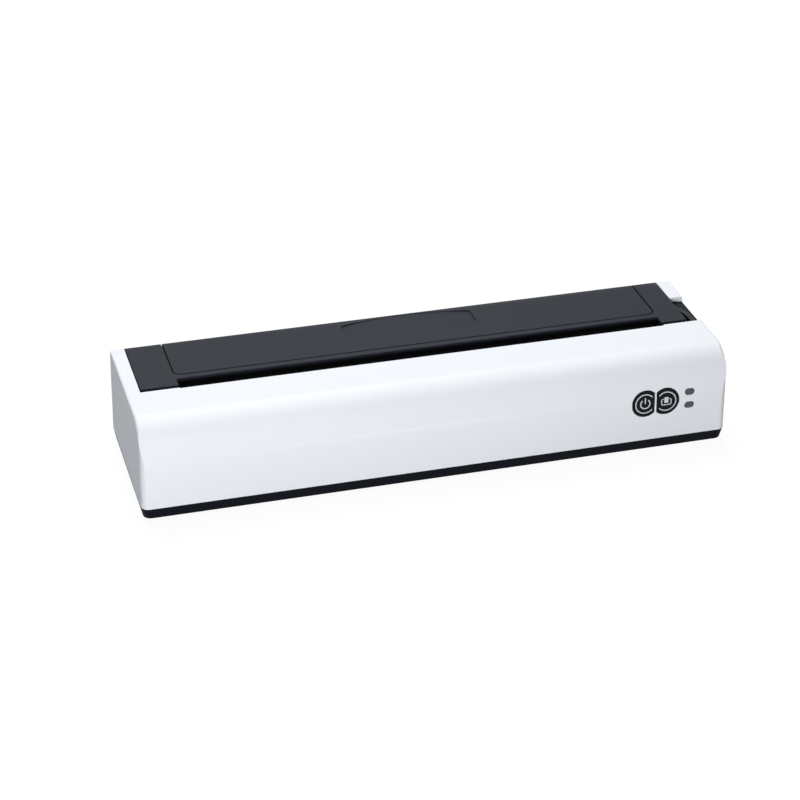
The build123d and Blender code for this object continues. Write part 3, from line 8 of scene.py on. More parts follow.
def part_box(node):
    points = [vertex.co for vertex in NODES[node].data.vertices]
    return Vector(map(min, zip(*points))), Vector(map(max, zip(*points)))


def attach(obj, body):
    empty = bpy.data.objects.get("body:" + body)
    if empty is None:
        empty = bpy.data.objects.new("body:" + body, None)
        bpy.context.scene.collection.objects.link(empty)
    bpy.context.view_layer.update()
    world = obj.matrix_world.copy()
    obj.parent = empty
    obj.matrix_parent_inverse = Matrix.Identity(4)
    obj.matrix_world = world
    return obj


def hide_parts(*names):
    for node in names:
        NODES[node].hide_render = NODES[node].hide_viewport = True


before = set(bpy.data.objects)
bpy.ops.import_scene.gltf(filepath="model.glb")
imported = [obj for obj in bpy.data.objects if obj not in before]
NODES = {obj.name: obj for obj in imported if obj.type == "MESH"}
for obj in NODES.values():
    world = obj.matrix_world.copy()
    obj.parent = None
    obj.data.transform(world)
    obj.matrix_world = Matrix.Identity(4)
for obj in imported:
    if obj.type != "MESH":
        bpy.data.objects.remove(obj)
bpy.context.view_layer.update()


# ---------------------------------------------------------------- Camera, table and lamps
# A long lens looks down on the printer's front from its left. The printer stands on a plain white
# table, with one soft lamp low in front on the left and a broad one high up behind it.
class Wire:
    """A node's output, which can stand in a sum."""

    def __init__(self, finish, socket):
        self.finish = finish
        self.socket = socket

    def math(self, operation, *values):
        """A maths node on these values."""
        return self.finish.node("ShaderNodeMath", {"operation": operation}, dict(enumerate(values)))

    def __add__(self, other):
        return self.math("ADD", self, other)

    def __radd__(self, other):
        return self.math("ADD", other, self)

    def __sub__(self, other):
        return self.math("SUBTRACT", self, other)

    def __rsub__(self, other):
        return self.math("SUBTRACT", other, self)

    def __mul__(self, other):
        return self.math("MULTIPLY", self, other)

    def __rmul__(self, other):
        return self.math("MULTIPLY", other, self)

    def __truediv__(self, other):
        return self.math("DIVIDE", self, other)

    def above(self, edge, soft):
        """0 below the edge and 1 above it, over a soft step."""
        inputs = {"Value": self, "From Min": edge - soft, "From Max": edge + soft}
        return self.finish.node("ShaderNodeMapRange", {"interpolation_type": "SMOOTHSTEP"}, inputs)

    def below(self, edge, soft):
        """1 below the edge and 0 above it, over a soft step."""
        return 1 - self.above(edge, soft)

    def over_and_over(self, pitch):
        """A value that rises from 0 to 1 again and again, once in each pitch."""
        turns = self / pitch + 1000.0  # the whole turns keep the count above zero
        return self.math("FRACT", turns)


class Finish:
    """A material, or the world, that is put together node by node."""

    def __init__(self, owner):
        owner.use_nodes = True
        self.owner = owner
        self.tree = owner.node_tree
        self.tree.nodes.clear()

    def node(self, kind, settings=None, inputs=None, output=0):
        """Adds a node, sets it up, feeds its sockets and returns one of its outputs."""
        node = self.tree.nodes.new(kind)
        for key, value in (settings or {}).items():
            setattr(node, key, value)
        for key, value in (inputs or {}).items():
            if isinstance(value, Wire):
                self.tree.links.new(value.socket, node.inputs[key])
            else:
                node.inputs[key].default_value = value
        return Wire(self, node.outputs[output])

    def mix(self, share, first, second):
        """A colour between two others."""
        colours = {0: share, 6: first, 7: second}
        return self.node("ShaderNodeMix", {"data_type": "RGBA"}, colours, output=2)

    def place(self, stretch=(1, 1, 1)):
        """The point on the object, in metres, its three parts stretched."""
        point = self.node("ShaderNodeTexCoord", output="Object")
        return self.node("ShaderNodeMapping", {}, {"Vector": point, "Scale": stretch})

    def noise(self, size, detail=2.0, stretch=(1, 1, 1)):
        """Cloudy noise with lumps of a size in metres."""
        inputs = {"Vector": self.place(stretch), "Scale": 1 / size, "Detail": detail}
        return self.node("ShaderNodeTexNoise", {}, inputs, output="Fac")

    def bump(self, height, depth):
        """The way a surface faces when it has a fine relief, its depth in metres."""
        return self.node("ShaderNodeBump", {}, {"Strength": 0.6, "Distance": depth, "Height": height})

    def drift(self, cloud, colour, share):
        """A colour that wanders a little darker and lighter with the cloud."""
        dark = [part * (1 - share) for part in colour] + [1]
        light = [min(1.0, part * (1 + share)) for part in colour] + [1]
        return self.mix(cloud, dark, light)

    def along(self, axis):
        """The point's place along X, Y or Z, in metres."""
        return self.node("ShaderNodeSeparateXYZ", {}, {"Vector": self.place()}, output=axis)

    def cells(self, size):
        """A random value for each cell of a pattern, the cells' size in metres."""
        inputs = {"Vector": self.place(), "Scale": 1 / size, "Randomness": 0.6}
        colour = self.node("ShaderNodeTexVoronoi", {"distance": "CHEBYCHEV"}, inputs, output="Color")
        return self.node("ShaderNodeSeparateColor", {}, {"Color": colour})

    def dots(self, size):
        """1 on small scattered dots, their spacing in metres."""
        inputs = {"Vector": self.place(), "Scale": 1 / size}
        return self.node("ShaderNodeTexVoronoi", {}, inputs, output="Distance").below(0.16, 0.03)

    def finish(self, shader, output="ShaderNodeOutputMaterial"):
        """Links the finished shader to the tree's output and returns the owner."""
        end = self.tree.nodes.new(output)
        self.tree.links.new(shader.socket, end.inputs["Surface"])
        return self.owner


scene = bpy.context.scene
scene.view_settings.view_transform = "Standard"


def link(name, data):
    """A new object in the scene."""
    thing = bpy.data.objects.new(name, data)
    scene.collection.objects.link(thing)
    return thing


camera = link("camera", bpy.data.cameras.new("camera"))
camera_turn, camera_tilt, camera_roll = radians(-15.68), radians(29.22), radians(0.18)
camera_back = Vector(
    (sin(camera_turn) * cos(camera_tilt), -cos(camera_turn) * cos(camera_tilt), sin(camera_tilt))
)
level = Vector((cos(camera_turn), sin(camera_turn), 0))
upright = camera_back.cross(level)
camera_axes = Matrix(
    (
        level * cos(camera_roll) + upright * sin(camera_roll),
        upright * cos(camera_roll) - level * sin(camera_roll),
        camera_back,
    )
)
camera.matrix_world = Matrix.Translation((-0.2483, -0.8541, 0.5164)) @ camera_axes.transposed().to_4x4()
camera.data.sensor_width = 36.0
camera.data.lens = 104.11
camera.data.clip_start = 0.05
camera.data.clip_end = 30.0
scene.camera = camera


def seen_rays(made):
    """1 for what is seen, straight, mirrored or through glass, and 0 for light that falls on things."""
    rays = made.tree.nodes.new("ShaderNodeLightPath")
    seen = Wire(made, rays.outputs["Is Camera Ray"])
    for kind in ("Is Glossy Ray", "Is Transmission Ray"):
        seen = seen.math("MAXIMUM", seen, Wire(made, rays.outputs[kind]))
    return seen


# the camera and shiny surfaces see white all round; what lights the printer is dimmer
sky = Finish(bpy.data.worlds.new("studio"))
seen = seen_rays(sky)
dim = sky.node("ShaderNodeBackground", {}, {"Color": (0.93, 0.96, 1.0, 1), "Strength": 0.10})
bright = sky.node("ShaderNodeBackground", {}, {"Color": (1, 1, 1, 1), "Strength": 1.0})
sky.finish(sky.node("ShaderNodeMixShader", {}, {0: seen, 1: dim, 2: bright}), "ShaderNodeOutputWorld")
scene.world = sky.owner

table_half = 4.0
sheet = bpy.data.meshes.new("table")
corners = [(-1, -1), (1, -1), (1, 1), (-1, 1)]
sheet.from_pydata([(x * table_half, y * table_half, 0) for x, y in corners], [], [(0, 1, 2, 3)])
table = link("table", sheet)
top = Finish(bpy.data.materials.new("table_white"))
seen = seen_rays(top)
cloth = top.node("ShaderNodeBsdfDiffuse", {}, {"Color": (0.26, 0.27, 0.28, 1)})
glow = top.node("ShaderNodeEmission", {}, {"Color": (1, 1, 1, 1), "Strength": 1.30})
table_white = top.node("ShaderNodeMixShader", {}, {0: seen * 0.72, 1: cloth, 2: glow})
table.data.materials.append(top.finish(table_white))

# name, where it hangs, what it points at, width, depth, watts
LAMPS = (
    ("front_lamp", (-0.20, -0.70, 0.22), (0.0, 0.0, 0.02), 0.40, 0.30, 4.6),
    ("top_lamp", (0.0, 0.85, 1.35), (0.0, 0.0, 0.0), 1.2, 0.8, 27.0),
)
for name, spot, aim, width, depth, watts in LAMPS:
    lamp = link(name, bpy.data.lights.new(name, "AREA"))
    lamp.data.shape = "RECTANGLE"
    lamp.data.size = width
    lamp.data.size_y = depth
    lamp.data.energy = watts
    lamp.location = spot
    lamp.rotation_euler = (Vector(aim) - Vector(spot)).to_track_quat("-Z", "Y").to_euler()


# ---------------------------------------------------------------- Base tray
# The black base is injection-moulded with a fine spark-eroded grain. Its rim shows as the dark band
# under the white casing; battery saddles, board posts and screw bosses stand inside it.
def principled(made, inputs):
    """Ends a finish in one shader with these inputs."""
    return made.finish(made.node("ShaderNodeBsdfPrincipled", {}, inputs))


def rubbed_edges(made):
    """1 on the broken edges and 0 elsewhere."""
    return made.node("ShaderNodeAttribute", {"attribute_name": "rub"}, output="Fac")


def rubbed(colour):
    """The paler colour of a rubbed edge."""
    return [min(1.0, part * 1.15 + 0.012) for part in colour] + [1]


def plastic(name, colour, roughness, grain=0.00045, depth=0.00002, drift=0.05, gloss=0.5):
    """Moulded plastic: a colour that drifts a little, fine grain, and edges rubbed smooth and pale."""
    made = Finish(bpy.data.materials.new(name))
    cloud = made.noise(0.03, 3.0)
    fleck = made.noise(grain, 2.0)
    worn = rubbed_edges(made) * made.noise(0.004, 2.0).above(0.5, 0.12)
    inputs = {
        "Base Color": made.mix(worn * 0.6, made.drift(cloud, colour, drift), rubbed(colour)),
        "Roughness": roughness + (cloud - 0.5) * 0.08 + (fleck - 0.5) * 0.12 - worn * 0.08,
        "Normal": made.bump(fleck, depth),
        "Specular IOR Level": gloss,
    }
    return principled(made, inputs)


def dress(material, *names):
    """Gives CAD pieces their material."""
    for name in names:
        NODES[name].data.materials.clear()
        NODES[name].data.materials.append(material)


def near(faces, normal, limit):
    """The mean of the faces' normals that lie near a direction, large faces counting more."""
    total = Vector()
    for face in faces:
        if face.normal.dot(normal) > limit:
            total += face.normal * face.area
    return total.normalized() if total.length > 0 else normal


SHARP = 28  # degrees between faces past which an edge is broken and shading doesn't run over it
STEEP, WIDE = 62, 80  # degrees over which a break is shaded with its own faces, and with a flat beside it
SLIVER = 0.0004  # a face with less area than this share of its girth squared has no trusted direction


def shade(mesh, rounds=None):
    """Smooths the shading over rounds and broken edges and keeps flats flat. rounds knows true rounds."""
    rub = [item.value for item in mesh.attributes["rub"].data]
    flats = [[] for _ in mesh.vertices]
    breaks = [[] for _ in mesh.vertices]
    slivers = set()
    for face in mesh.polygons:
        ends = [mesh.vertices[index].co for index in face.vertices]
        girth = sum((end - ends[place - 1]).length for place, end in enumerate(ends))
        if face.area < girth**2 * SLIVER:
            slivers.add(face.index)
            continue
        for index in face.vertices:
            (breaks if rub[face.index] else flats)[index].append(face)

    def true(index, normal):
        return rounds and rounds(mesh.vertices[index].co, normal)

    normals = [None] * len(mesh.loops)
    for face in mesh.polygons:
        for corner in face.loop_indices:
            index = mesh.loops[corner].vertex_index
            asked = toward = face.normal
            beside, limit = flats[index], SHARP
            if face.index in slivers:
                asked = None
                beside = flats[index] or breaks[index]
                if beside:
                    toward = max(beside, key=lambda other: other.area).normal
            elif rub[face.index] and not true(index, face.normal):
                far = cos(radians(WIDE))
                beside = [other for other in flats[index] if other.normal.dot(face.normal) > far]
                if beside:
                    asked = toward = max(beside, key=lambda other: other.normal.dot(face.normal)).normal
                else:
                    beside, limit = breaks[index], STEEP
            normals[corner] = true(index, asked) or near(beside, toward, cos(radians(limit)))
    mesh.normals_split_custom_set(normals)


MERGE = 2e-6
ROOM = 2.4  # an edge is broken only where the edges at its ends are this many times longer than the break


def soften(node, body, material, width, reshape=None, rounds=None):
    """A CAD piece with its edges broken as a mould leaves them. reshape changes its mesh before that."""
    piece = link(node + "_soft", NODES[node].data.copy())
    bm = bmesh.new()
    bm.from_mesh(piece.data)
    bmesh.ops.remove_doubles(bm, verts=bm.verts, dist=MERGE)
    bmesh.ops.dissolve_degenerate(bm, dist=MERGE, edges=bm.edges)
    bmesh.ops.dissolve_limit(bm, angle_limit=radians(0.05), verts=bm.verts, edges=bm.edges)
    if reshape:
        reshape(piece, bm)
    worn = bm.faces.layers.float.new("rub")
    room = width * ROOM
    roomy = {vert for vert in bm.verts if all(edge.calc_length() > room for edge in vert.link_edges)}
    edges = [edge for edge in bm.edges if is_sharp(edge) and roomy.issuperset(edge.verts)]
    made = bmesh.ops.bevel(
        bm,
        geom=edges,
        offset=width,
        offset_type="OFFSET",
        segments=2,
        profile=0.5,
        affect="EDGES",
        clamp_overlap=False,
    )
    for face in made["faces"]:
        face[worn] = 1.0
    low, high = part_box(node)
    for vert in bm.verts:
        vert.co = [min(max(vert.co[i], low[i]), high[i]) for i in range(3)]
    for face in bm.faces:
        face.smooth = True
    bm.to_mesh(piece.data)
    bm.free()
    shade(piece.data, rounds)
    piece.data.materials.clear()
    piece.data.materials.append(material)
    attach(piece, body)
    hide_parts(node)


def is_sharp(edge):
    """True for an edge where two faces meet at a clear angle."""
    return len(edge.link_faces) == 2 and edge.calc_face_angle(0) > radians(SHARP)


black_base = plastic("black_base", (0.005, 0.006, 0.009), 0.5, gloss=0.04)
soften("base_tray", "chassis", black_base, 0.00025)


# ---------------------------------------------------------------- Feet
# Four round pads are die-cut from a sheet of soft rubber and glued in shallow pockets under the base,
# so that the printer stands still while the sheet is torn off.
foot_rubber = plastic("foot_rubber", (0.03, 0.03, 0.03), 0.85, grain=0.0008, depth=0.00008, gloss=0.3)
soften("foot_pads", "chassis", foot_rubber, 0.0002)


# ---------------------------------------------------------------- Battery pack
# Two round cells stand end to end in a shrunk plastic sleeve, which puckers over their shoulders and
# has one welded seam. The sleeve lies in the base's saddles.
def sleeve_film():
    """Glossy shrunk film with fine puckers along the cells and a flat seam."""
    made = Finish(bpy.data.materials.new("cell_wrap"))
    cloud = made.noise(0.02, 2.0)
    pucker = made.noise(0.0012, 2.0, stretch=(0.12, 1, 1))
    inputs = {
        "Base Color": made.drift(cloud, (0.022, 0.070, 0.235), 0.12),
        "Roughness": 0.24 + pucker * 0.14,
        "Normal": made.bump(pucker, 0.00012),
    }
    return principled(made, inputs)


soften("battery_pack", "chassis", sleeve_film(), 0.0009)


# ---------------------------------------------------------------- Circuit boards
# Glass-cloth boards with a green coating over their copper: fine tracks, and tinned rings round the
# drilled holes. Resin chips, plugs and cans with bare aluminium tops are soldered on the main one.
def board_coat():
    """Green coating with raised tracks in two directions and tinned dots."""
    made = Finish(bpy.data.materials.new("board_green"))
    blocks = made.cells(0.006)
    lengthwise = made.along("X").over_and_over(0.0013).below(0.42, 0.05) * blocks.above(0.45, 0.02)
    across = made.along("Y").over_and_over(0.0016).below(0.36, 0.05) * blocks.below(0.35, 0.02)
    tracks = lengthwise.math("MAXIMUM", lengthwise, across)
    holes = made.dots(0.0023)
    coat = made.mix(tracks, (0.008, 0.085, 0.035, 1), (0.025, 0.17, 0.07, 1))
    inputs = {
        "Base Color": made.mix(holes, coat, (0.62, 0.62, 0.60, 1)),
        "Metallic": holes * 0.9,
        "Roughness": 0.32 + holes * 0.1 + tracks * 0.06,
        "Normal": made.bump(tracks + holes * 0.5, 0.00004),
    }
    return principled(made, inputs)


dress(board_coat(), "main_board", "control_board", "port_board")


def part_resin():
    """Black moulding resin, with the bare crimped metal on top of the tall cans."""
    made = Finish(bpy.data.materials.new("chip_resin"))
    low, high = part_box("board_parts")
    cap = made.along("Z").above(high[2] - 0.0004, 0.00002)
    fleck = made.noise(0.0003, 2.0)
    inputs = {
        "Base Color": made.mix(cap, (0.012, 0.012, 0.013, 1), (0.70, 0.71, 0.72, 1)),
        "Metallic": cap,
        "Roughness": 0.42 + (fleck - 0.5) * 0.2 - cap * 0.12,
        "Normal": made.bump(fleck, 0.00002),
    }
    return principled(made, inputs)


soften("board_parts", "chassis", part_resin(), 0.00018)


# ---------------------------------------------------------------- Frame plates and motor
# Two pressed and zinc-plated steel plates stand on the base and carry the head, the gears and the
# motor. The motor's drawn can is riveted to the left one.
def metal(name, colour, roughness, streak=(1, 1, 1), size=0.0006, depth=0.000008, drift=0.08):
    """Bare or plated metal with fine marks that run one way and a faint cloudy stain."""
    made = Finish(bpy.data.materials.new(name))
    cloud = made.noise(0.012, 3.0)
    mark = made.noise(size, 3.0, stretch=streak)
    inputs = {
        "Base Color": made.mix(rubbed_edges(made) * 0.5, made.drift(cloud, colour, drift), rubbed(colour)),
        "Metallic": 1.0,
        "Roughness": roughness + (mark - 0.5) * 0.22 + (cloud - 0.5) * 0.1,
        "Normal": made.bump(mark, depth),
    }
    return principled(made, inputs)


zinc_plate = metal("steel", (0.50, 0.51, 0.53), 0.36, streak=(1, 0.08, 1))
soften("left_frame_plate", "chassis", zinc_plate, 0.0001)
soften("right_frame_plate", "chassis", zinc_plate, 0.0001)
motor_can = metal("motor_can", (0.42, 0.43, 0.45), 0.3, streak=(0.1, 1, 1), size=0.0004)
soften("stepper_motor", "chassis", motor_can, 0.0004)


# ---------------------------------------------------------------- Gears
# The motor's pinion is turned brass. The idler and the platen's gear are moulded in natural acetal;
# the idler runs on a headed pin of ground steel.
acetal = plastic("gear_plastic", (0.70, 0.68, 0.62), 0.38, grain=0.0009, depth=0.00001, drift=0.03)
dress(acetal, "idler_gear", "platen_gear")
dress(metal("brass", (0.70, 0.50, 0.22), 0.26, streak=(0.06, 1, 1), size=0.0003), "motor_pinion")
ground_steel = metal("ground_steel", (0.58, 0.59, 0.60), 0.2, streak=(6, 1, 1), size=0.0008, depth=0.000004)
dress(ground_steel, "motor_shaft", "idler_axle", "platen_shaft", "hinge_pins", "lever_pin")


# ---------------------------------------------------------------- Print head
# A glazed ceramic board with one brown line of heater dots is glued to an extruded aluminium bar; a
# resin-filled cover hides its chips. Coil springs between bar and beam push it on the platen.
def glazed_ceramic(lean, line_y, line_z):
    """White ceramic, its glaze bead and the brown heater line that lies against the platen."""
    made = Finish(bpy.data.materials.new("heater_ceramic"))
    x, up = made.along("X"), (made.along("Z") - line_z) * cos(lean) - (made.along("Y") - line_y) * sin(lean)
    off = up.math("ABSOLUTE", up)
    bead = off.below(0.0012, 0.0002)
    dots = x.over_and_over(0.00025).below(0.7, 0.1)
    heater = off.below(0.00022, 0.00003) * (0.55 + dots * 0.45)
    pads = up.below(-0.0030, 0.00005) * x.over_and_over(0.0008).below(0.5, 0.05)
    ceramic, glaze, brown, gold = (
        (0.74, 0.73, 0.68, 1),
        (0.52, 0.47, 0.36, 1),
        (0.09, 0.045, 0.02, 1),
        (0.62, 0.45, 0.18, 1),
    )
    base = made.mix(bead, ceramic, glaze)
    inputs = {
        "Base Color": made.mix(pads * 0.7, made.mix(heater, base, brown), gold),
        "Metallic": pads * 0.6,
        "Roughness": 0.42 - bead * 0.28,
        "Normal": made.bump(bead * 0.5 + heater, 0.00003),
    }
    return principled(made, inputs)


HEAD_LEAN, HEATER_Y, HEATER_Z = radians(20), 0.0032, 0.0342  # where the platen touches the head
dress(glazed_ceramic(HEAD_LEAN, HEATER_Y, HEATER_Z), "thermal_head")
head_resin = plastic("head_resin", (0.010, 0.010, 0.011), 0.3, grain=0.0006, depth=0.00003)
soften("head_chip_cover", "head", head_resin, 0.0002)
bar_metal = metal("aluminium", (0.72, 0.73, 0.75), 0.34, streak=(0.03, 1, 1), size=0.0004)
soften("head_heat_bar", "head", bar_metal, 0.0002)
soften("head_beam", "chassis", zinc_plate, 0.0001)
spring_wire = metal("spring_wire", (0.62, 0.62, 0.62), 0.25, size=0.0002)
dress(spring_wire, "head_springs", "lever_spring")


# ---------------------------------------------------------------- Head cable
# A flat cable of laminated film joins the head to the main board: flat tinned conductors lie side by
# side under a thin clear skin.
def cable_film():
    """White film with conductors that run along it, each a little raised."""
    made = Finish(bpy.data.materials.new("cable_film"))
    lane = made.along("X").over_and_over(0.001)
    wire = lane.above(0.22, 0.06) * lane.below(0.78, 0.06)
    inputs = {
        "Base Color": made.mix(wire, (0.72, 0.74, 0.77, 1), (0.46, 0.47, 0.50, 1)),
        "Metallic": wire * 0.35,
        "Roughness": 0.26 + (1 - wire) * 0.1,
        "Normal": made.bump(wire, 0.00004),
    }
    return principled(made, inputs)


dress(cable_film(), "head_cable")


# ---------------------------------------------------------------- Roll trough, sensor and cover switch
# The roll lies in a plain black moulded trough, closed by an end cap on each side. A reflective sensor
# is clipped to its front, and a small switch on the right frame plate feels the cover close.
tray_black = plastic("tray_black", (0.014, 0.014, 0.016), 0.55, grain=0.0007, depth=0.00004, gloss=0.3)
soften("paper_tray", "chassis", tray_black, 0.0002)
soften("tray_ends", "chassis", tray_black, 0.0002)
switch_black = plastic("switch_black", (0.018, 0.018, 0.020), 0.4, gloss=0.4)
soften("paper_sensor", "chassis", switch_black, 0.00025)
soften("cover_switch", "chassis", switch_black, 0.00025)


# ---------------------------------------------------------------- Socket
# The charging socket is a shell of thin folded stainless steel round a black tongue, soldered on its
# own little board behind the hole in the right-hand end.
def socket_steel():
    """Bright folded steel outside and a black moulded tongue in the middle of the mouth."""
    made = Finish(bpy.data.materials.new("socket_steel"))
    low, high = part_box("charging_socket")
    side = (high[1] - low[1]) / 2
    up, across = made.along("Z") - (low[2] + high[2]) / 2, made.along("Y") - (low[1] + side)
    off, aside = up.math("ABSOLUTE", up), across.math("ABSOLUTE", across)
    tongue = off.below(0.00055, 0.00002) * aside.below(side - 0.0006, 0.00002)
    mark = made.noise(0.0005, 3.0, stretch=(0.1, 1, 1))
    inputs = {
        "Base Color": made.mix(tongue, (0.60, 0.61, 0.62, 1), (0.012, 0.012, 0.013, 1)),
        "Metallic": 1 - tongue,
        "Roughness": 0.22 + mark * 0.12 + tongue * 0.15,
        "Normal": made.bump(mark, 0.000006),
    }
    return principled(made, inputs)


soften("charging_socket", "chassis", socket_steel(), 0.00008)


# ---------------------------------------------------------------- White casing
# The upper casing is one moulding in satin white with rounded edges. It carries the cover's opening,
# the wall of the paper slot, the screw posts and the lugs of the hinge.
BROW_CENTRE, BROW_START, BROW_RADIUS = 7.5, 21.0, 45.0
TOP, FOOT, SEAM = 44.0, 5.5, 36.3  # the seam is where the brow's round meets the tighter one above it
# the long rounds of the casing's outline: how far back and how high their centres are, and their radii
ROUNDS = ((BROW_CENTRE, BROW_START, BROW_RADIUS), (-23.889, 32.434, 11.566), (35.0, 41.054, 2.5))
SLOPE_START, SLOPE_TURN = 32.0, radians(8)
RIM_FROM, ENDS_FROM = 124.2, 126.0
RIM_WIDTH, RIM_STEPS = 0.0016, 6
RIM_SWELLS = (36.5, 40.5)  # the rim's round swells from nothing to its full width between these heights
RIM_FADES = (24.0, 25.5, 27.0, 28.5, 30.0)  # and fades to nothing over these cuts near the back


def on_casing_rim(edge):
    """True for the long edges where the casing's ends meet its brow, top, rear slope and back round."""
    for vert in edge.verts:
        x, y, z = vert.co * 1000
        on_slope = abs((y - SLOPE_START) * sin(SLOPE_TURN) + (z - TOP) * cos(SLOPE_TURN)) < 0.03
        on_top = z > TOP - 0.02 or (on_slope and y > SLOPE_START)
        on_round = any(abs(hypot(y - at_y, z - at_z) - radius) < 0.05 for at_y, at_z, radius in ROUNDS)
        outside = y < -23.0 or y > 34.9
        if abs(x) < RIM_FROM or z < BROW_START + 0.5 or not (on_top or (on_round and outside)):
            return False
    return True


def round_rims(piece, bm):
    """Gives the rims of both ends a broad round that comes and goes gently."""
    for cut in RIM_FADES:
        whole, place = bm.verts[:] + bm.edges[:] + bm.faces[:], (0, cut / 1000, 0)
        bmesh.ops.bisect_plane(bm, geom=whole, dist=MERGE, plane_co=place, plane_no=(0, 1, 0))
    share = bm.edges.layers.float.new("bevel_weight_edge")
    swell, full = RIM_SWELLS
    for edge in bm.edges:
        if is_sharp(edge) and on_casing_rim(edge):
            low_end = min(vert.co.z for vert in edge.verts) * 1000
            back_end = max(vert.co.y for vert in edge.verts) * 1000
            swelling = (low_end - swell) / (full - swell)
            fading = (RIM_FADES[-1] - back_end) / (RIM_FADES[-1] - RIM_FADES[0])
            edge[share] = min(1.0, max(0.0, swelling), max(0.0, fading))
    bm.to_mesh(piece.data)
    rim = piece.modifiers.new("rim", "BEVEL")
    rim.limit_method = "WEIGHT"
    rim.width = RIM_WIDTH
    rim.segments = RIM_STEPS
    rim.use_clamp_overlap = False
    rounded = piece.evaluated_get(bpy.context.evaluated_depsgraph_get())
    piece.data = bpy.data.meshes.new_from_object(rounded)
    piece.modifiers.clear()
    bm.clear()
    bm.from_mesh(piece.data)
    bm.edges.layers.float.remove(bm.edges.layers.float["bevel_weight_edge"])


def front_at(z):
    """How far forward the casing's front stands at a height, in millimetres."""
    return BROW_CENTRE - sqrt(BROW_RADIUS**2 - max(z - BROW_START, 0) ** 2)


def casing_rounds(point, normal):
    """The true direction of the casing's surface on its long rounds."""
    x, y, z = point * 1000
    if abs(x) > ENDS_FROM and (not normal or abs(normal.x) > 0.3):
        return None
    on_front = y < -33.0 and FOOT + 0.1 < z < SEAM and abs(y - front_at(z)) < 0.02
    if on_front and abs(x) < ENDS_FROM and (not normal or normal.y < -0.5):
        return Vector((0, y - BROW_CENTRE, max(z - BROW_START, 0))).normalized()
    for at_y, at_z, radius in ROUNDS:
        reach = Vector((0, y - at_y, z - at_z))
        if abs(reach.length - radius) < 0.06 and (y < -20.0 or y > 34.5):
            reach.normalize()
            if not normal or reach.dot(normal) > 0.97:
                return reach
    return None


white_shell = plastic("white_shell", (0.79, 0.82, 0.86), 0.5, 0.0006, 0.000015, drift=0.008, gloss=0.16)
soften("upper_housing", "chassis", white_shell, 0.00022, round_rims, casing_rounds)


# ---------------------------------------------------------------- Screws
# Pan-head screws of blackened steel with a pressed cross. Long ones come up through the base into the
# casing's posts, short ones hold the boards and the bracket; all cut their own thread in the plastic.
class Growth(Finish):
    """A tree that grows shapes, put together node by node."""

    def __init__(self, name, inputs):
        self.tree = bpy.data.node_groups.new(name, "GeometryNodeTree")
        self.labels = {}
        for label, kind in inputs.items():
            socket = self.tree.interface.new_socket(label, in_out="INPUT", socket_type="NodeSocket" + kind)
            self.labels[label] = socket.identifier
        self.tree.interface.new_socket("Geometry", in_out="OUTPUT", socket_type="NodeSocketGeometry")
        self.start = self.tree.nodes.new("NodeGroupInput")

    def given(self, label):
        """One of the tree's own inputs."""
        return Wire(self, self.start.outputs[label])

    def several(self, kind, settings, inputs, socket, wires):
        """A node with a socket that takes many wires."""
        made = self.node(kind, settings, inputs)
        for wire in wires:
            self.tree.links.new(wire.socket, made.socket.node.inputs[socket])
        return made

    def moved(self, shape, shift=None, scale=None, turn=(0, 0, 0)):
        """The shape scaled, turned and shifted, each given by three values or wires."""
        inputs = {"Geometry": shape, "Rotation": turn}
        for key, parts in (("Translation", shift), ("Scale", scale)):
            if parts:
                inputs[key] = self.node("ShaderNodeCombineXYZ", {}, dict(enumerate(parts)))
        return self.node("GeometryNodeTransform", {}, inputs)

    def grow(self, shape):
        """Ends the tree in real faces with the given material."""
        real = self.node("GeometryNodeRealizeInstances", {}, {"Geometry": shape})
        coat = {"Geometry": real, "Material": self.given("Material")}
        dressed = self.node("GeometryNodeSetMaterial", {}, coat)
        end = self.tree.nodes.new("NodeGroupOutput")
        self.tree.links.new(dressed.socket, end.inputs["Geometry"])


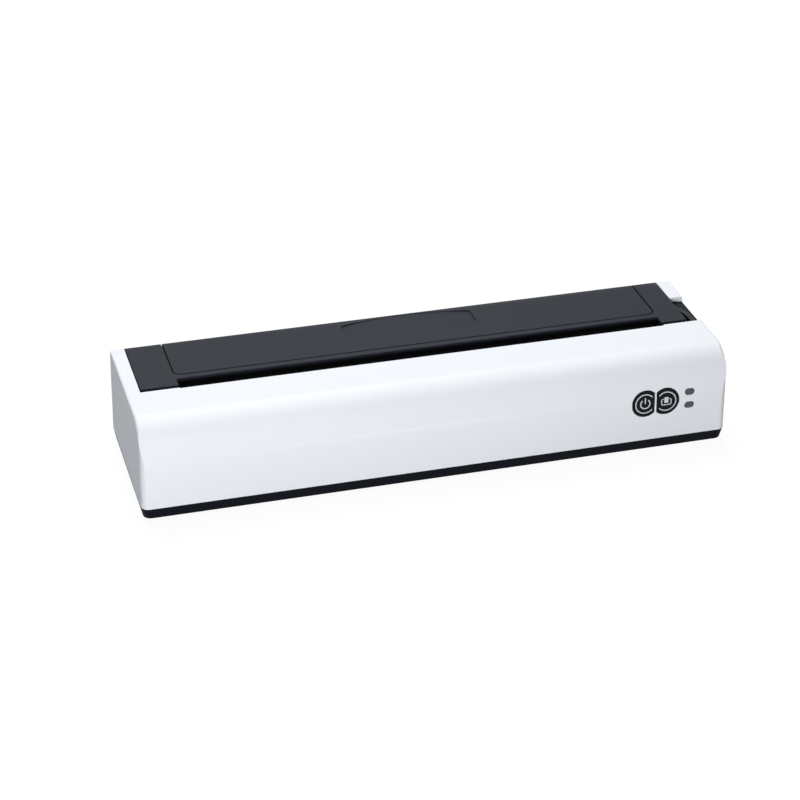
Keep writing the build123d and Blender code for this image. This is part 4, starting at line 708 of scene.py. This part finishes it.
def screw_tree():
    """A screw on each point, its head's underside on the point, turned as the point says."""
    kinds = {
        "Geometry": "Geometry",
        "Head Radius": "Float",
        "Head Height": "Float",
        "Shank Radius": "Float",
        "Length": "Float",
        "Pitch": "Float",
        "Material": "Material",
    }
    grown = Growth("cross_screw", kinds)
    head, tall, shank, length, pitch = (grown.given(label) for label in list(kinds)[1:6])
    ball = grown.node("GeometryNodeMeshUVSphere", {}, {"Segments": 32, "Rings": 16, "Radius": 1.0})
    dome = grown.moved(ball, scale=(head * 1.25, head * 1.25, tall))
    disc = {"Vertices": 32, "Radius": head, "Depth": tall * 2}
    barrel = grown.moved(grown.node("GeometryNodeMeshCylinder", {}, disc), shift=(0.0, 0.0, tall))
    meet = {"operation": "INTERSECT"}
    knob = grown.several("GeometryNodeMeshBoolean", meet, {}, "Mesh 2", (dome, barrel))
    taper = {"Vertices": 4, "Radius Top": head * 0.62, "Radius Bottom": head * 0.22, "Depth": tall * 0.8}
    wedge = grown.node("GeometryNodeMeshCone", {}, taper)
    blade = grown.moved(wedge, shift=(0.0, 0.0, tall * 0.25), scale=(1.0, 0.3, 1.0))
    crossed = grown.moved(blade, turn=(0, 0, pi / 2))
    carve = {"operation": "DIFFERENCE"}
    cut = grown.several("GeometryNodeMeshBoolean", carve, {"Mesh 1": knob}, "Mesh 2", (blade, crossed))
    root = shank * 0.84
    pin = {"Vertices": 16, "Radius": root, "Depth": length}
    core = grown.moved(grown.node("GeometryNodeMeshCylinder", {}, pin), shift=(0.0, 0.0, length * -0.5))
    coil = {
        "Resolution": 16,
        "Rotations": length / pitch * 0.9,
        "Start Radius": root,
        "End Radius": root,
        "Height": length * 0.9,
    }
    spiral = grown.moved(grown.node("GeometryNodeCurveSpiral", {}, coil), shift=(0.0, 0.0, length * -0.98))
    ridge = grown.node("GeometryNodeCurvePrimitiveCircle", {}, {"Resolution": 3, "Radius": shank * 0.16})
    winding = {"Curve": spiral, "Profile Curve": ridge, "Fill Caps": True}
    thread = grown.node("GeometryNodeCurveToMesh", {}, winding)
    whole = grown.several("GeometryNodeJoinGeometry", {}, {}, "Geometry", (cut, core, thread))
    turn = grown.node("GeometryNodeInputNamedAttribute", {"data_type": "FLOAT_VECTOR"}, {"Name": "turn"})
    seeding = {"Points": grown.given("Geometry"), "Instance": whole, "Rotation": turn}
    grown.grow(grown.node("GeometryNodeInstanceOnPoints", {}, seeding))
    return grown


def loose_boxes(node):
    """The lowest and highest corner of each loose solid of a CAD piece."""
    bm = bmesh.new()
    bm.from_mesh(NODES[node].data)
    bmesh.ops.remove_doubles(bm, verts=bm.verts, dist=MERGE)
    met = set()
    boxes = []
    for start in bm.verts:
        if start in met:
            continue
        met.add(start)
        found = [start]
        for vert in found:
            for edge in vert.link_edges:
                other = edge.other_vert(vert)
                if other not in met:
                    met.add(other)
                    found.append(other)
        low = Vector([min(vert.co[i] for vert in found) for i in range(3)])
        high = Vector([max(vert.co[i] for vert in found) for i in range(3)])
        boxes.append((low, high))
    bm.free()
    return boxes


SCREWS = screw_tree()
SCREW_STEEL = metal("screw_steel", (0.10, 0.10, 0.105), 0.4, size=0.0005)
HEAD_HEIGHT = 0.0011
HEAD_DOWN, HEAD_UP, HEAD_BACK = (pi, 0, 0), (0, 0, 0), (-pi / 2, 0, 0)


def plant_screws(name, node, body, length, seeds):
    """Grows a screw on each seed, a point and a turn, into one mesh that takes a CAD piece's place."""
    mesh = bpy.data.meshes.new(name + "_seeds")
    mesh.from_pydata([point for point, turn in seeds], [], [])
    turns = mesh.attributes.new("turn", "FLOAT_VECTOR", "POINT")
    for item, (point, turn) in zip(turns.data, seeds):
        item.vector = turn
    bed = link(name + "_seeds", mesh)
    modifier = bed.modifiers.new("grow", "NODES")
    modifier.node_group = SCREWS.tree
    sizes = {"Head Radius": 0.00205, "Head Height": HEAD_HEIGHT, "Shank Radius": 0.0011, "Pitch": 0.0009}
    for label, value in (sizes | {"Length": length, "Material": SCREW_STEEL}).items():
        modifier[SCREWS.labels[label]] = value
    grown = bed.evaluated_get(bpy.context.evaluated_depsgraph_get())
    piece = link(name, bpy.data.meshes.new_from_object(grown))
    bpy.data.objects.remove(bed)
    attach(piece, body)
    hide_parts(node)


def from_below(node):
    """Seeds for screws that come from below: where the flat side of each head is."""
    seeds = []
    for low, high in loose_boxes(node):
        middle = (low + high) / 2
        seeds.append(((middle.x, middle.y, low.z + HEAD_HEIGHT), HEAD_DOWN))
    return seeds


def on_boards(node):
    """Seeds for screws that come from above, or from behind where they lie flat."""
    seeds = []
    for low, high in loose_boxes(node):
        middle = (low + high) / 2
        if high.z - low.z > high.y - low.y:
            seeds.append(((middle.x, middle.y, high.z - HEAD_HEIGHT), HEAD_UP))
        else:
            seeds.append(((middle.x, high.y - HEAD_HEIGHT, middle.z), HEAD_BACK))
    return seeds


plant_screws("casing_screws", "base_screws", "chassis", 0.0118, from_below("base_screws"))
plant_screws("panel_screws", "board_screws", "chassis", 0.0036, on_boards("board_screws"))
plant_screws("deck_screws", "bracket_screws", "cover", 0.002, from_below("bracket_screws"))


# ---------------------------------------------------------------- Tear bar
# A strip of thin stainless steel with a row of pressed teeth is held behind the front lip of the slot.
# The printed sheet is pulled up against it and torn off.
dress(metal("tear_steel", (0.38, 0.39, 0.40), 0.32, streak=(0.05, 1, 1), size=0.0005), "tear_bar")


# ---------------------------------------------------------------- Side insert
# A black moulding fills the notch in the right-hand wall. A round thumb well is cut in its inner side,
# with a raised crescent lip along it and a second one outside that. The lips are a paler grey than the
# insert: a painted highlight along the crescents.
insert_black = plastic("insert_black", (0.006, 0.007, 0.009), 0.45, grain=0.0006, gloss=0.05)
# the lips' paler grey is a painted highlight on the same black moulding; their higher gloss is real
lip_painted_highlight = plastic("lip_painted_highlight", (0.03, 0.032, 0.038), 0.3, grain=0.0006, gloss=0.35)
soften("side_insert", "chassis", insert_black, 0.00015)
WELL_X, WELL_Y, WELL_RADIUS, INSERT_TOP = 98.8, 0.7, 27.5, 41.6
LIP_WIDTH, LIP_RISE, LIP_ROOT = 0.5, 0.35, 0.2


def add_bar(bm, rows):
    """Joins rows of points, in millimetres, into a closed bar: each row is one cut through it."""
    rows = [[bm.verts.new(Vector(point) / 1000) for point in row] for row in rows]
    for first, second in zip(rows, rows[1:]):
        for index in range(len(first)):
            after = (index + 1) % len(first)
            bm.faces.new((first[index], first[after], second[after], second[index]))
    bm.faces.new(rows[0])
    bm.faces.new(rows[-1])


def add_piece(name, bm, material, body):
    """Makes a piece of what was built, with its faces outwards, and sets it on a body."""
    bmesh.ops.recalc_face_normals(bm, faces=bm.faces)
    piece = link(name, bpy.data.meshes.new(name))
    bm.to_mesh(piece.data)
    bm.free()
    piece.data.materials.append(material)
    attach(piece, body)


def crescent(name, radius, start, end, steps=40, across=6):
    """A rib that follows the well, rounded on top and thinning to nothing at both ends."""
    bm = bmesh.new()
    rows = []
    for step in range(steps + 1):
        share = step / steps
        turn = radians(start + (end - start) * share)
        full = max(sin(pi * share) ** 0.5, 0.05)
        cut = []
        for index in range(across + 1):
            lean = pi * index / across
            cut.append((radius - cos(lean) * LIP_WIDTH / 2 * full, INSERT_TOP + sin(lean) * LIP_RISE * full))
        cut += [(cut[-1][0], INSERT_TOP - LIP_ROOT), (cut[0][0], INSERT_TOP - LIP_ROOT)]
        rows.append([(WELL_X + reach * cos(turn), WELL_Y + reach * sin(turn), high) for reach, high in cut])
    add_bar(bm, rows)
    for face in bm.faces:
        face.smooth = len(face.verts) == 4
    add_piece(name, bm, lip_painted_highlight, "chassis")


crescent("well_lip", WELL_RADIUS + 0.35, -11.0, 33.0)
crescent("outer_lip", WELL_RADIUS + 1.45, -11.0, 30.0)


# ---------------------------------------------------------------- Release lever
# The thumb lever beside the cover is moulded in black acetal. It turns on a steel pin, and a wound
# spring brings it back.
lever_black = plastic("lever_black", (0.012, 0.012, 0.014), 0.38, gloss=0.35)
soften("release_lever", "release", lever_black, 0.0002)


# ---------------------------------------------------------------- Front switches, diodes and buttons
# Two push switches and two clear diodes are soldered on the upright board. The round button caps in
# front of them are black with pale printed rings and symbols.
soften("push_switches", "chassis", switch_black, 0.00012)
diode_clear = plastic("diode_clear", (0.78, 0.76, 0.62), 0.2, grain=0.0008, depth=0.00001, drift=0.1)
soften("lamp_diodes", "chassis", diode_clear, 0.0002)
button_black = plastic("button_black", (0.004, 0.0045, 0.006), 0.42, grain=0.0005, gloss=0.10)
soften("power_button", "power", button_black, 0.0003)
soften("feed_button", "feed", button_black, 0.0003)
button_ink = plastic("button_ink", (0.60, 0.64, 0.68), 0.5, grain=0.0003, depth=0.00001)
BUTTON_SUNK, INK_UP = 0.1, 0.03
INK_CORNERS = ((1, -INK_UP), (1, INK_UP), (-1, INK_UP), (-1, -INK_UP))


def ink(name, body, strokes):
    """Printed strokes on a button: each is a line of points (x, z) and its width, in millimetres."""
    bm = bmesh.new()
    for line, width in strokes:
        rows = []
        for index, (x, z) in enumerate(line):
            before, after = line[max(index - 1, 0)], line[min(index + 1, len(line) - 1)]
            along = Vector((after[0] - before[0], after[1] - before[1])).normalized() * width / 2
            row = []
            for side, lift in INK_CORNERS:
                at_x, at_z = x - along.y * side, z + along.x * side
                row.append((at_x, front_at(at_z) + BUTTON_SUNK + lift, at_z))
            rows.append(row)
        add_bar(bm, rows)
    add_piece(name, bm, button_ink, body)


def arc(x, z, radius, start, end):
    """Points along an arc, its ends in degrees from the right, turning left."""
    count = ceil(abs(end - start) / 8)
    turns = [radians(start + (end - start) * step / count) for step in range(count + 1)]
    return [(x + radius * cos(turn), z + radius * sin(turn)) for turn in turns]


POWER_X, FEED_X, BUTTON_Z = 91.9, 101.7, 23.4
RING_RADIUS, RING_WIDTH, RING_GAP = 4.4, 0.45, 42
DIAL_RADIUS, DIAL_GAP, DIAL_WIDTH = 2.15, 38, 0.5
power_marks = [
    (arc(POWER_X, BUTTON_Z, RING_RADIUS, RING_GAP, 360 - RING_GAP), RING_WIDTH),
    (arc(POWER_X, BUTTON_Z, DIAL_RADIUS, 90 + DIAL_GAP, 450 - DIAL_GAP), DIAL_WIDTH),
    ([(POWER_X, BUTTON_Z + 0.1), (POWER_X, BUTTON_Z + 2.9)], DIAL_WIDTH),
]
ink("power_ink", "power", power_marks)
TRAY_CORNER, TRAY_WIDTH, SHEET_WIDTH = 0.7, 0.42, 1.9
tray_side = [(1.3, 1.2), (1.9, 1.1), (2.2, 0.7)]
tray_line = [(FEED_X - x, BUTTON_Z + z) for x, z in tray_side]
tray_line += arc(FEED_X - 1.5, BUTTON_Z - 0.9, TRAY_CORNER, 180, 270)
tray_line += arc(FEED_X + 1.5, BUTTON_Z - 0.9, TRAY_CORNER, 270, 360)
tray_line += [(FEED_X + x, BUTTON_Z + z) for x, z in reversed(tray_side)]
feed_marks = [
    (arc(FEED_X, BUTTON_Z, RING_RADIUS, 180 + RING_GAP, 540 - RING_GAP), RING_WIDTH),
    (tray_line, TRAY_WIDTH),
    ([(FEED_X, BUTTON_Z - 0.7), (FEED_X, BUTTON_Z + 2.0)], SHEET_WIDTH),
]
ink("feed_ink", "feed", feed_marks)


# ---------------------------------------------------------------- Lamps
# Each lamp is a pill of smoked clear plastic that guides a diode's light to the front. Unlit it looks
# grey. It is pressed into its hole from behind.
def smoked():
    """Smoked plastic with a faint cloud in it."""
    made = Finish(bpy.data.materials.new("lamp_grey"))
    cloud = made.noise(0.0015, 2.0)
    inputs = {
        "Base Color": made.drift(cloud, (0.066, 0.080, 0.102), 0.12),
        "Roughness": 0.3 + (cloud - 0.5) * 0.1,
        "Normal": made.bump(cloud, 0.00001),
        "Specular IOR Level": 0.25,
    }
    return principled(made, inputs)


soften("lamp_lenses", "chassis", smoked(), 0.00025)


# ---------------------------------------------------------------- Cover
# The cover is a charcoal moulding with a finely textured skin. Its lid is a second moulding, snapped
# in a sunk bed, with a narrow groove round it and a shallow boat-shaped relief.
# below this height the cover's colour is a near-black painted shade
COVER_PAINTED_SHADE_BELOW = 0.0429


def cover_skin():
    """Charcoal skin with a fine texture; below its height the sides in the grooves and the slot get a
    near-black painted shade.
    """
    made = Finish(bpy.data.materials.new("cover_black"))
    above_painted_shade = made.along("Z").above(COVER_PAINTED_SHADE_BELOW, 0.0003)
    cloud = made.noise(0.03, 3.0)
    fleck = made.noise(0.0004, 2.0)
    worn = rubbed_edges(made) * made.noise(0.004, 2.0).above(0.5, 0.12) * above_painted_shade
    colour = (0.012, 0.0145, 0.022)
    charcoal = made.mix(worn * 0.6, made.drift(cloud, colour, 0.06), rubbed(colour))
    inputs = {
        # the near-black under the line is painted shade in the grooves and the slot, not the plastic's own
        # colour
        "Base Color": made.mix(above_painted_shade, (0.0015, 0.0018, 0.0025, 1), charcoal),
        "Roughness": 0.5 + (cloud - 0.5) * 0.08 + (fleck - 0.5) * 0.14 - worn * 0.08,
        "Normal": made.bump(fleck, 0.00003),
        "Specular IOR Level": 0.075,
    }
    return principled(made, inputs)


cover_black = cover_skin()
soften("cover_frame", "cover", cover_black, 0.00022)
soften("lid_panel", "cover", cover_black, 0.0002)


# ---------------------------------------------------------------- Platen bracket
# A bracket of folded and zinc-plated steel is screwed under the cover. Its ears carry the platen in
# two plastic bushes.
soften("platen_bracket", "cover", zinc_plate, 0.0001)
bush_black = plastic("bush_plastic", (0.05, 0.05, 0.052), 0.35, grain=0.0008)
soften("platen_bushes", "cover", bush_black, 0.0002)


# ---------------------------------------------------------------- Platen
# The platen is a steel shaft with ground black rubber bonded on it. Spring clips keep it in the
# bushes, and its gear turns with it.
rubber_skin = plastic("platen_rubber", (0.010, 0.010, 0.011), 0.85, 0.0003, 0.00003, gloss=0.12)
soften("platen_rubber", "platen", rubber_skin, 0.0003)
dress(spring_wire, "shaft_clips")
